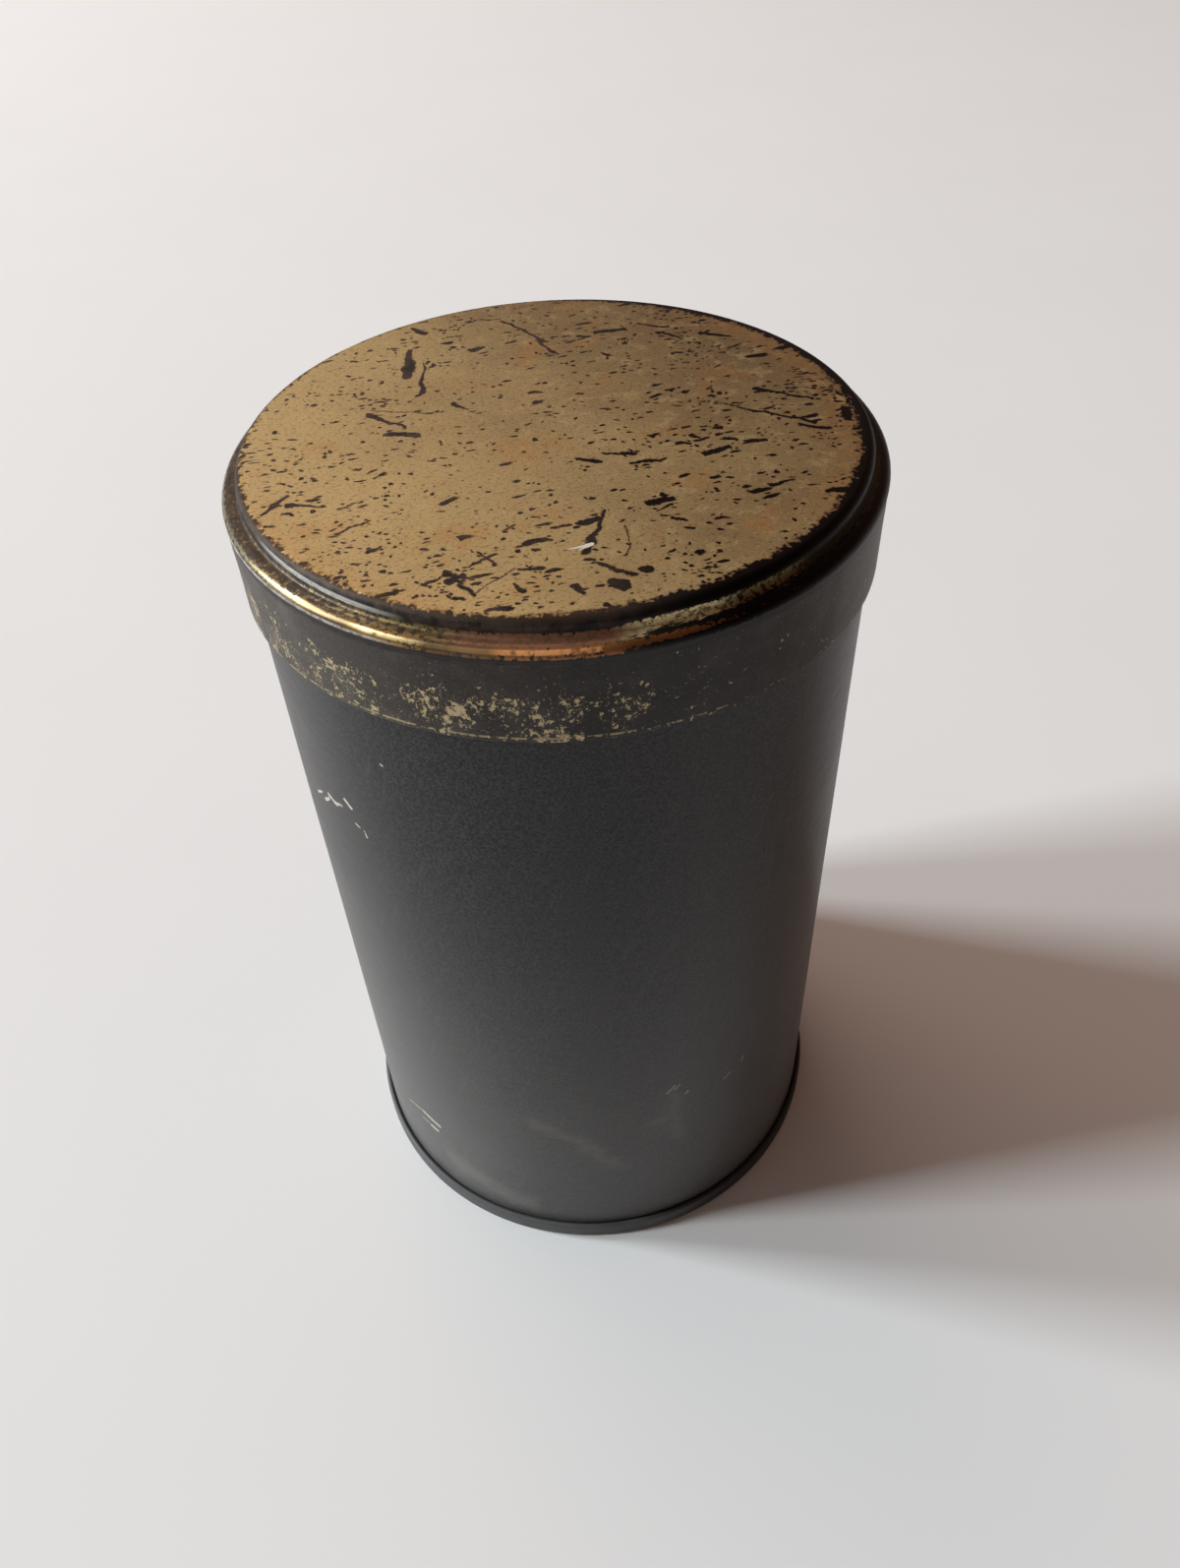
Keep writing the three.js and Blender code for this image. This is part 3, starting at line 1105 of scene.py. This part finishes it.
    def _ledge(self, finish: Finish, along: Value, metal: Socket) -> tuple[Socket, Value]:
        """Colours the riser and the ledge.

        Args:
            finish: The finish that draws them.
            along: Distance outwards and down from the panel's edge.
            metal: Colour of the bare metal.

        Returns:
            The colour, and a mask of the bare metal.
        """
        red = finish.turn.band(-15.0, 9.0, 5.0)
        pale = finish.turn.band(13.0, 22.0, 7.0)
        colour = finish.mix(red, self.ledge_olive, self.ledge_red)
        colour = finish.mix(pale, colour, self.ledge_pale)
        crumbling = finish.noise(0.8, 4.0, 0.72) + finish.turn.band(-BACK, -50.0, 24.0) * 0.1
        crumbs = crumbling.rise(0.5, 0.54)
        speckle = crumbs * (1.0 - red * 0.6) * (1.0 - pale * 0.2)
        hung = finish.point(finish.x, finish.y, along * 0.35)
        drips = (finish.noise(0.75, 3.0, 0.7, hung) - 0.5) * 3.6
        right = finish.turn.band(14.0, BACK, 10.0)
        upper = (3.1 - 0.7 * right - along + drips).rise(-0.1, 0.15)
        swept = finish.point(finish.x, finish.y, along * 4.0)
        streaky = finish.noise(1.9, 4.0, 0.75, swept)
        lower = (along - 6.2 + 1.7 * right + (streaky - 0.5) * 4.0).rise(-0.15, 0.2)
        gaps = (streaky + finish.turn.band(60.0, BACK, 36.0) * 0.16).rise(0.56, 0.62)
        back = finish.turn.size().rise(60.0, 100.0) * 0.5
        bare = upper.most(lower).most(speckle * 0.9).most(gaps * pale).most(back)
        bare = bare.most(finish.turn.band(44.0, BACK, 8.0) * 0.85)
        return finish.mix(bare, colour, metal), bare

    def _bead(self, finish: Finish, along: Value, metal: Socket) -> tuple[Socket, Value]:
        """Colours the round bead, with a painted highlight line, a painted coppery reflection and
        painted shade on its right.

        Args:
            finish: The finish that draws it.
            along: Distance outwards and down from the panel's edge.
            metal: Colour of the bare metal.

        Returns:
            The colour, and a mask of the bare metal.
        """
        # Painted reflection: the bead is tinted coppery from the front round to the right.
        front_reflection = finish.turn.band(-10.0, 140.0, 14.0)
        colour = finish.mix(front_reflection, self.bead_gold, self.bead_reflection_tint)
        # Painted highlight: a bright line along the bead's crown, gold on the left and orange at
        # the front.
        bright = finish.mix(front_reflection, self.bead_highlight, self.bead_orange_highlight)
        line = along.band(6.2, 6.85, 0.3) * finish.turn.band(-70.0, 4.2, 1.0)
        faded = finish.turn.band(-BACK, -35.0, 5.0) * 0.95
        line = line * (1.0 - faded) * finish.noise(2.0, 3.0, 0.6).rise(0.3, 0.5)
        colour = finish.mix(line, colour, bright)
        dulled = finish.turn.band(-41.0, -35.0, 4.0) * 0.9
        dulled = dulled.most(finish.turn.band(-20.0, -12.0, 4.0) * 0.7)
        colour = finish.mix(finish.turn.band(-BACK, -46.0, 6.0) * 0.8, colour, self.bead_far)
        colour = finish.mix(dulled, colour, self.bead_dull)
        # Painted shade: the bead turns dark brown on the right.
        colour = finish.mix(finish.turn.band(30.0, 140.0, 16.0), colour, self.bead_right_shade)
        mottle = finish.noise(0.7, 3.0, 0.72)
        low = along.rise(6.4, 7.4) * (0.16 + 0.3 * finish.turn.band(14.0, BACK, 8.0))
        high = along.rise(6.5, 5.6) * 0.14
        right = finish.turn.band(30.0, BACK, 14.0) * 0.3
        left = finish.turn.band(-BACK, -62.0, 14.0) * 0.12
        bare = (mottle + low + high + right + left).rise(0.64, 0.74)
        return finish.mix(bare, colour, metal), bare

    def _skirt(self, finish: Finish, metal: Socket, foot: float) -> tuple[Socket, Value]:
        """Colours the dark skirt and its flecks of lacquer, with a painted reflection at its far
        sides and painted shade on its front right.

        Args:
            finish: The finish that draws it.
            metal: Colour of the bare metal.
            foot: Height of the skirt's edge.

        Returns:
            The colour, and a mask of the flecks.
        """
        clouds = finish.noise(6.0, 4.0, 0.6)
        # Painted reflection: the skirt is paler at its far left and far right, where it turns away
        # from view.
        paler = finish.turn.band(-110.0, -44.0, 34.0) * 0.28
        paler = paler + finish.turn.band(52.0, 120.0, 7.0) * 0.3
        colour = finish.mix(clouds.rise(0.4, 0.8) * 0.4 + paler, self.skirt, self.skirt_light_and_reflection)
        fine = finish.noise(0.42, 3.0, 0.7)
        colour = finish.mix(fine.rise(0.5, 0.72) * 0.6, colour, self.black)
        colour = finish.mix(fine.rise(0.45, 0.25) * 0.45, colour, self.skirt_light_and_reflection)
        # Painted shade: the skirt is darkened on its front right.
        colour = finish.mix(finish.turn.band(2.0, 34.0, 9.0) * 0.42, colour, self.black)
        up = finish.z - foot
        crowd = finish.noise(3.4, 3.0, 0.65)
        front = finish.turn.band(-62.0, 4.0, 22.0)
        low = up.band(2.2, 5.5, 6.5)
        amount = low * (0.04 + 0.09 * front) + (crowd - 0.5) * 0.55
        coarse = finish.noise(0.95, 4.0, 0.74) + amount
        fine_flecks = finish.noise(0.4, 3.0, 0.7) + amount * 0.8
        flecks = coarse.rise(0.71, 0.74).most(fine_flecks.rise(0.71, 0.76) * 0.7)
        breaks = finish.noise(1.1, 3.0, 0.7) + 0.1 * front
        line = up.band(0.8, 1.0, 0.14) * breaks.rise(0.55, 0.64)
        flecked = flecks.most(line * 0.65)
        colour = finish.mix(flecked, colour, self.fleck)
        tuck = up.rise(12.3, 13.0)
        return finish.mix(tuck, colour, metal), flecked

    def _scrapes(self, finish: Finish) -> Value:
        """Draws the one pale scraped chip of the panel."""
        return deepest(finish, panel_strokes(SCRAPE), finish.waver(0.8, 0.3)).rise(0.0, 0.12)


# Sub-assemblies


@dataclass(frozen=True)
class TinSheet:
    """Sizes that the pieces share, in millimetres, as in the CAD source."""

    height: float = 159.2
    body_radius: float = 47.8
    sheet: float = 0.3
    panel_rise: float = 2.6
    rim_seat_gap: float = 0.15
    seam_height: float = 4.0
    seam_gap: float = 0.1
    hook_clear: float = 0.6
    hook_steps: int = 10
    segments: int = 256

    @property
    def half(self) -> float:
        """Gives half the sheet's thickness."""
        return self.sheet / 2

    @property
    def layer(self) -> float:
        """Gives the middle of one seam layer to the middle of the next."""
        return self.sheet + self.seam_gap

    @property
    def wall(self) -> float:
        """Gives the radius of the wall's middle."""
        return self.body_radius - self.half

    @property
    def seam(self) -> float:
        """Gives the radius of the foot seam's outermost layer."""
        return self.wall + 3 * self.layer

    @property
    def ledge(self) -> float:
        """Gives the height of the lid's ledge."""
        return self.height - self.panel_rise

    @property
    def rim_top(self) -> float:
        """Gives the height of the body's rim."""
        return self.ledge - self.sheet - self.rim_seat_gap


@dataclass(frozen=True)
class Lid:
    """The pressed slip lid: raised panel, step, bead, skirt and rolled edge."""

    shared: TinSheet
    depth: float = 17.8
    fit: float = 0.3
    roll: float = 0.425
    bead_proud: float = 0.1
    bead_round: float = 1.5
    ledge_width: float = 1.0
    ledge_fillet: float = 0.5
    panel_round: float = 1.3
    panel_rings: int = 22
    skirt_rings: int = 22
    edge_steps: int = 8
    ledge_steps: int = 6
    bead_steps: int = 12
    roll_steps: int = 12
    panel_sag: float = 0.07
    sag_size: float = 16.0
    skirt_sway: float = 0.06
    sway_size: float = 9.0

    @property
    def skirt(self) -> float:
        """Gives the radius of the skirt's outside."""
        return self.shared.body_radius + self.fit + 2 * self.roll

    @property
    def bead_middle(self) -> float:
        """Gives the radius of the bead's middle."""
        return self.skirt + self.bead_proud - self.bead_round

    @property
    def riser(self) -> float:
        """Gives the radius of the riser's outside."""
        return self.bead_middle - self.ledge_width

    @property
    def foot(self) -> float:
        """Gives the height of the skirt's edge."""
        return self.shared.height - self.depth

    def section(self) -> Section:
        """Draws the pressing from its middle to its rolled edge.

        Returns:
            The section.
        """
        half = self.shared.half
        panel = self.shared.height - half
        riser = self.riser - half
        skirt = self.skirt - half
        ledge = self.shared.ledge - half
        panel_bend = self.panel_round - half
        ledge_bend = self.ledge_fillet + half
        bead_bend = self.bead_round - half
        bead_height = self.shared.ledge - self.bead_round
        roll_bend = self.roll - half
        roll_height = self.foot + self.roll
        tuck = math.degrees(math.acos((bead_bend - self.bead_proud) / bead_bend))
        return (
            Section(0.0, panel)
            .straight(riser - panel_bend, panel, self.panel_rings)
            .bend(riser - panel_bend, panel - panel_bend, QUARTER, self.edge_steps)
            .straight(riser, ledge + ledge_bend)
            .bend(riser + ledge_bend, ledge + ledge_bend, -QUARTER, self.ledge_steps)
            .straight(self.bead_middle, ledge)
            .bend(self.bead_middle, bead_height, QUARTER + tuck, self.bead_steps)
            .straight(skirt, roll_height, self.skirt_rings)
            .bend(skirt - roll_bend, roll_height, 3 * QUARTER, self.roll_steps)
        )

    def sway(self, point: Vector) -> Vector:
        """Gives the small dents and sags of years of handling.

        Args:
            point: A point of the sheet, in millimetres.

        Returns:
            How far it moves.
        """
        radius = point.xy.length
        on_panel = smooth_step(self.riser - 1.5, self.riser - 5.0, radius) if radius > 0 else 1.0
        sag = -self.panel_sag * (0.5 + 0.5 * noise.noise(point / self.sag_size)) * on_panel
        below = smooth_step(self.shared.ledge - 4.0, self.shared.ledge - 8.0, point.z)
        push = -self.skirt_sway * (1 + noise.noise(point / self.sway_size)) * below
        outwards = Vector((point.x, point.y, 0.0)) / max(radius, 1.0)
        return outwards * push + Vector((0.0, 0.0, sag))

    def build(self, inner: Material) -> bpy.types.Object:
        """Makes and dresses the lid.

        Args:
            inner: Material of its underside.

        Returns:
            The finished piece.
        """
        mesh = turn_section(self.section(), self.shared.segments)
        face_outwards(mesh, (self.skirt, self.foot + self.depth / 2))
        make_uneven(mesh, self.sway)
        outer = LidLacquer().build(self.riser - self.panel_round, self.shared.height, self.foot)
        piece = finish_sheet("slip_lid", mesh, self.shared.sheet, (outer, inner))
        seat(piece, Body.LID, "lid")
        return piece


@dataclass(frozen=True)
class BodyShell:
    """The body: rolled rim, wall with its locked side seam, and hooked flange."""

    shared: TinSheet
    rim_roll: float = 0.6
    lock_width: float = 3.2
    lock_margin: float = 1.6
    wall_rings: int = 48
    rim_steps: int = 15
    fold_steps: int = 8
    sway_reach: float = 0.07

    @property
    def lock_half(self) -> float:
        """Gives half the width of the locked seam."""
        return self.lock_width / 2

    @property
    def joggle(self) -> float:
        """Gives where the second edge turns in past the first fold."""
        return self.lock_half + 2 * self.shared.layer

    @property
    def lock_foot(self) -> float:
        """Gives the height at which the seam starts."""
        return self.shared.seam_height + self.lock_margin

    @property
    def lock_top(self) -> float:
        """Gives the height at which the seam ends."""
        return self.shared.rim_top - 2 * self.rim_roll - self.lock_margin

    def section(self) -> Section:
        """Draws the sheet from its rolled rim to the end of its hook.

        Returns:
            The section.
        """
        shared = self.shared
        bend = self.rim_roll - shared.half
        rim = shared.rim_top - self.rim_roll
        hook = shared.wall + 2 * shared.layer
        flange = shared.half + 2 * shared.layer
        hook_top = shared.seam_height - shared.sheet - shared.hook_clear
        return (
            Section(shared.wall - bend, rim - bend)
            .bend(shared.wall - bend, rim, 3 * QUARTER, self.rim_steps)
            .straight(shared.wall, self.lock_top)
            .straight(shared.wall, self.lock_foot, self.wall_rings)
            .straight(shared.wall, flange)
            .bend(hook - shared.layer, flange, -HALF_TURN, shared.hook_steps)
            .straight(hook, hook_top)
        )

    def heading(self, distance: float) -> float:
        """Gives the direction, in radians from +X, of a distance round the wall from the seam."""
        return math.pi / 2 - distance / self.shared.wall

    def ring(self) -> Mesh:
        """Turns the wall from one side of the seam round to the other, and closes it.

        Returns:
            The ring, with its edges not yet joined.
        """
        mesh = self.section().mesh
        window = (self.joggle - self.lock_half) / self.shared.wall
        bmesh.ops.rotate(
            mesh,
            verts=mesh.verts[:],
            cent=(0.0, 0.0, 0.0),
            matrix=Matrix.Rotation(self.heading(self.lock_half), 3, "Z"),
        )
        edge = mesh.verts[:] + mesh.edges[:]
        for angle, steps in ((2 * math.pi - window, self.shared.segments), (window, 1)):
            made = bmesh.ops.spin(
                mesh, geom=edge, axis=(0.0, 0.0, 1.0), angle=angle, steps=steps, use_duplicate=False
            )
            edge = made["geom_last"]
        return mesh

    def side(self, mesh: Mesh, distance: float) -> list[bmesh.types.BMEdge]:
        """Finds the open edge of the seam's window on one side.

        Args:
            mesh: The ring with its window cut.
            distance: Distance of that side round the wall.

        Returns:
            Its edges.
        """
        heading = self.heading(distance)
        line = Vector((math.cos(heading), math.sin(heading))) * self.shared.wall

        def on_side(vertex: bmesh.types.BMVert) -> bool:
            """Tells whether a corner lies on that side."""
            return (vertex.co.xy - line).length < self.shared.seam_gap

        return [e for e in mesh.edges if e.is_boundary and all(on_side(v) for v in e.verts)]

    def fold(
        self, mesh: Mesh, edges: list[bmesh.types.BMEdge], path: Sequence[Point]
    ) -> None:
        """Folds an open edge of the wall along a path.

        Args:
            mesh: The wall.
            edges: The open edge.
            path: Corners as distance round the wall and depth inside it.
        """
        for distance, depth in path:
            made = bmesh.ops.extrude_edge_only(mesh, edges=edges)
            new = {e for e in made["geom"] if isinstance(e, bmesh.types.BMVert)}
            heading, radius = self.heading(distance), self.shared.wall - depth
            for vertex in new:
                vertex.co.x = radius * math.cos(heading)
                vertex.co.y = radius * math.sin(heading)
            sides = (e for e in made["geom"] if isinstance(e, bmesh.types.BMEdge))
            edges = [e for e in sides if all(v in new for v in e.verts)]

    def lock(self, mesh: Mesh) -> None:
        """Cuts the seam's window and folds its two edges into each other.

        Args:
            mesh: The closed ring.
        """
        bmesh.ops.remove_doubles(mesh, verts=mesh.verts[:], dist=WELD)
        middle = self.heading((self.joggle + self.lock_half) / 2)
        across = Vector((-math.sin(middle), math.cos(middle), 0.0))
        reach = (self.joggle - self.lock_half) / 4

        def in_window(face: bmesh.types.BMFace) -> bool:
            """Tells whether a face lies where the window is cut.

            Args:
                face: A face of the ring.

            Returns:
                Whether it is in the window.
            """
            centre = face.calc_center_median()
            level = self.lock_foot < centre.z < self.lock_top
            return level and centre.y > 0 and abs(centre.dot(across)) < reach

        window = [face for face in mesh.faces if in_window(face)]
        bmesh.ops.delete(mesh, geom=window, context="FACES")
        layer, gap, half = self.shared.layer, self.shared.seam_gap, self.lock_half
        first = (
            Section(half, 0.0)
            .bend(half, layer, -HALF_TURN, self.fold_steps)
            .straight(gap - half, 2 * layer)
        )
        second = (
            Section(self.joggle, 0.0)
            .straight(self.joggle, 3 * layer)
            .straight(-half, 3 * layer)
            .bend(-half, 2 * layer, -HALF_TURN, self.fold_steps)
            .straight(half - gap, layer)
        )
        for distance, section in ((half, first), (self.joggle, second)):
            self.fold(mesh, self.side(mesh, distance), section.points()[1:])
            section.mesh.free()

    def sway(self, point: Vector) -> Vector:
        """Gives the wall's slight waves, none of them near its seams.

        Args:
            point: A point of the sheet, in millimetres.

        Returns:
            How far it moves.
        """
        free = smooth_step(8.0, 24.0, point.z) * smooth_step(self.lock_top, 130.0, point.z)
        turn = math.atan2(point.x, -point.y)
        away = smooth_step(math.pi, math.pi - 0.5, abs(turn))
        around = Vector((math.sin(turn) * 1.6, math.cos(turn) * 1.6, point.z / 30.0))
        push = -self.sway_reach * (1 + noise.noise(around)) * free * away
        return Vector((point.x, point.y, 0.0)).normalized() * push

    def build(self, inner: Material) -> bpy.types.Object:
        """Makes and dresses the body.

        Args:
            inner: Material of its inside.

        Returns:
            The finished piece.
        """
        mesh = self.ring()
        self.lock(mesh)
        face_outwards(mesh, (self.shared.wall, self.shared.height / 2))
        make_uneven(mesh, self.sway)
        lid_foot = self.shared.height - Lid(self.shared).depth
        outer = CharcoalPaint().build(self.shared.wall, lid_foot, self.shared.rim_top)
        piece = finish_sheet("tin_body", mesh, self.shared.sheet, (outer, inner))
        seat(piece, Body.TIN, "body_shell")
        return piece


@dataclass(frozen=True)
class BottomEnd:
    """The pressed bottom: beaded panel, countersink and the outer hook of the foot seam."""

    shared: TinSheet
    countersink: float = 3.6
    fillet: float = 0.8
    foot_corner: float = 0.55
    bead_radius: float = 36.0
    bead_width: float = 5.0
    bead_rise: float = 0.8
    panel_rings: int = 10
    bead_steps: int = 14
    rim_rings: int = 3
    fillet_steps: int = 7
    corner_steps: int = 6
    wall_rings: int = 4

    def section(self) -> Section:
        """Draws the sheet from the panel's middle to the end of its hook.

        Returns:
            The section.
        """
        shared, corner, layer = self.shared, self.foot_corner, self.shared.layer
        panel = self.countersink + shared.half
        sink = shared.wall - layer
        seam = shared.seam
        foot = shared.half + corner
        top = shared.seam_height - shared.half - layer
        hook_end = shared.sheet + layer + shared.hook_clear
        return (
            Section(0.0, panel)
            .straight(self.bead_radius - self.bead_width / 2, panel, self.panel_rings)
            .wave(self.bead_width, self.bead_rise, self.bead_steps)
            .straight(sink - self.fillet, panel, self.rim_rings)
            .bend(sink - self.fillet, panel - self.fillet, QUARTER, self.fillet_steps)
            .straight(sink, foot)
            .bend(sink + corner, foot, -QUARTER, self.corner_steps)
            .straight(seam - corner, shared.half)
            .bend(seam - corner, foot, -QUARTER, self.corner_steps)
            .straight(seam, top, self.wall_rings)
            .bend(seam - layer, top, -HALF_TURN, shared.hook_steps)
            .straight(seam - 2 * layer, hook_end)
        )

    def build(self, inner: Material) -> bpy.types.Object:
        """Makes and dresses the bottom end.

        Args:
            inner: Material of the side that faces into the tin.

        Returns:
            The finished piece.
        """
        mesh = turn_section(self.section(), self.shared.segments)
        face_outwards(mesh, (self.shared.seam, self.shared.seam_height / 2))
        outer = EndPaint().build(self.shared.wall - self.shared.layer, self.shared.seam_height)
        piece = finish_sheet("tin_bottom", mesh, self.shared.sheet, (outer, inner))
        seat(piece, Body.TIN, "bottom_end")
        return piece


@dataclass(frozen=True)
class SeamFillings:
    """The solder and the sealing compound, which keep their CAD shapes."""

    def dress(self) -> None:
        """Gives both CAD nodes their finishes."""
        made = {"side_seam_solder": Solder().build(), "seam_compound": Sealant().build()}
        for node, material in made.items():
            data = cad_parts[node].data
            data.materials.clear()
            data.materials.append(material)


# Stage


@dataclass(frozen=True)
class PhotoCamera:
    """The camera of the photograph, fitted to the tin's own edges, in pixels and millimetres."""

    width: int = 1200
    height: int = 1594
    focal: float = 1220.38
    behind: float = 162.28
    above: float = 245.88
    yaw: float = 0.0159
    pitch: float = 0.7793
    roll: float = -0.0526
    sensor: float = 36.0

    def build(self) -> None:
        """Makes the camera and gives it to the scene."""
        data = bpy.data.cameras.new("photo_camera")
        data.sensor_fit = "AUTO"
        data.sensor_width = self.sensor
        data.lens = self.focal / max(self.width, self.height) * self.sensor
        forward = Vector(
            (
                math.sin(self.yaw) * math.cos(self.pitch),
                math.cos(self.yaw) * math.cos(self.pitch),
                -math.sin(self.pitch),
            )
        )
        level = Vector((math.cos(self.yaw), -math.sin(self.yaw), 0.0))
        upright = level.cross(forward)
        right = math.cos(self.roll) * level + math.sin(self.roll) * upright
        up = right.cross(forward)
        axes = Matrix((right, up, -forward)).transposed()
        camera = bpy.data.objects.new("photo_camera", data)
        place = Matrix.Translation((0.0, -self.behind * MM, self.above * MM))
        camera.matrix_world = place @ axes.to_4x4()
        bpy.context.scene.collection.objects.link(camera)
        bpy.context.scene.camera = camera


@dataclass(frozen=True)
class SoftLamp:
    """A large upright lamp that points at the middle of the tin."""

    name: str
    place: tuple[float, float, float]
    width: float
    height: float
    power: float
    colour: tuple[float, float, float]
    aim: tuple[float, float, float] = (0.0, 0.0, 0.08)

    def build(self) -> None:
        """Makes the lamp."""
        data = bpy.data.lights.new(self.name, "AREA")
        data.shape = "RECTANGLE"
        data.size = self.width
        data.size_y = self.height
        data.energy = self.power
        data.color = self.colour
        lamp = bpy.data.objects.new(self.name, data)
        lamp.location = self.place
        look = Vector(self.aim) - Vector(self.place)
        lamp.rotation_euler = look.to_track_quat("-Z", "Y").to_euler()
        lamp.visible_camera = False
        bpy.context.scene.collection.objects.link(lamp)


@dataclass(frozen=True)
class Studio:
    """A pale floor, a pale room, a window of two panes and a soft lamp behind."""

    floor_half: float = 4.0
    floor_colour: Colour = srgb(226, 224, 223)
    floor_cloud: Colour = srgb(214, 212, 212)
    room_left: Colour = (0.32, 0.31, 0.31, 1.0)
    room_right: Colour = (0.2, 0.1, 0.06, 1.0)
    front_share: float = 0.4
    across_blend: Point = (-0.8, 0.8)
    front_blend: Point = (-0.7, 0.3)
    lamps: tuple[SoftLamp, ...] = (
        SoftLamp("front_pane", (-5.8, -0.42, 2.98), 0.94, 3.6, 342.0, (0.91, 1.0, 1.04)),
        SoftLamp("back_pane", (-5.64, 1.36, 2.98), 0.94, 3.6, 342.0, (0.91, 1.0, 1.04)),
        SoftLamp("sky_light", (-0.9, 1.5, 1.95), 1.8, 1.8, 11.5, (1.2, 0.86, 0.68)),
    )

    def build(self) -> None:
        """Makes the floor, the room and the lamps."""
        mesh = bmesh.new()
        bmesh.ops.create_grid(mesh, x_segments=8, y_segments=8, size=self.floor_half)
        data = bpy.data.meshes.new("floor")
        mesh.to_mesh(data)
        mesh.free()
        data.materials.append(self._floor_material())
        floor = bpy.data.objects.new("floor", data)
        bpy.context.scene.collection.objects.link(floor)
        self._room()
        for lamp in self.lamps:
            lamp.build()

    def _floor_material(self) -> Material:
        """Makes the floor's pale, plain finish.

        Returns:
            The material.
        """
        finish = Finish("pale_floor")
        clouds = finish.noise(90.0, 2.0)
        tone = finish.mix(clouds.rise(0.3, 0.7) * 0.1, self.floor_colour, self.floor_cloud)
        return finish.surface(Base_Color=tone, Roughness=0.7, Specular_IOR_Level=0.12)

    def _room(self) -> None:
        """Makes the room, paler towards the left and dimmer towards the front."""
        world = bpy.data.worlds.new("pale_room")
        world.use_nodes = True
        room = Tree(world.node_tree)
        toward = room.node("ShaderNodeTexCoord").outputs["Generated"]
        parts = room.node("ShaderNodeSeparateXYZ", inputs={0: toward}).outputs
        across = Value(room, parts["X"]).rise(*self.across_blend)
        tone = room.mix(across, self.room_left, self.room_right)
        front = Value(room, parts["Y"]).rise(*self.front_blend) * (1.0 - self.front_share)
        inputs = {"Color": tone, "Strength": front + self.front_share}
        light = room.node("ShaderNodeBackground", inputs=inputs)
        room.node("ShaderNodeOutputWorld", inputs={"Surface": light.outputs[0]})
        bpy.context.scene.world = world


def main() -> None:
    """Builds the tin on its frame, then the stage."""
    shared = TinSheet()
    inside = Tinplate().build()
    for part in (Lid(shared), BodyShell(shared), BottomEnd(shared)):
        piece = part.build(inside)
        log.info("%s: %d faces", piece.name, len(piece.data.polygons))
    SeamFillings().dress()
    log.info("solder and sealing compound dressed")
    Studio().build()
    PhotoCamera().build()
    bpy.context.scene.view_settings.view_transform = "Standard"


if __name__ == "__main__":
    logging.basicConfig(level=logging.INFO, format="%(name)s: %(message)s")
    main()
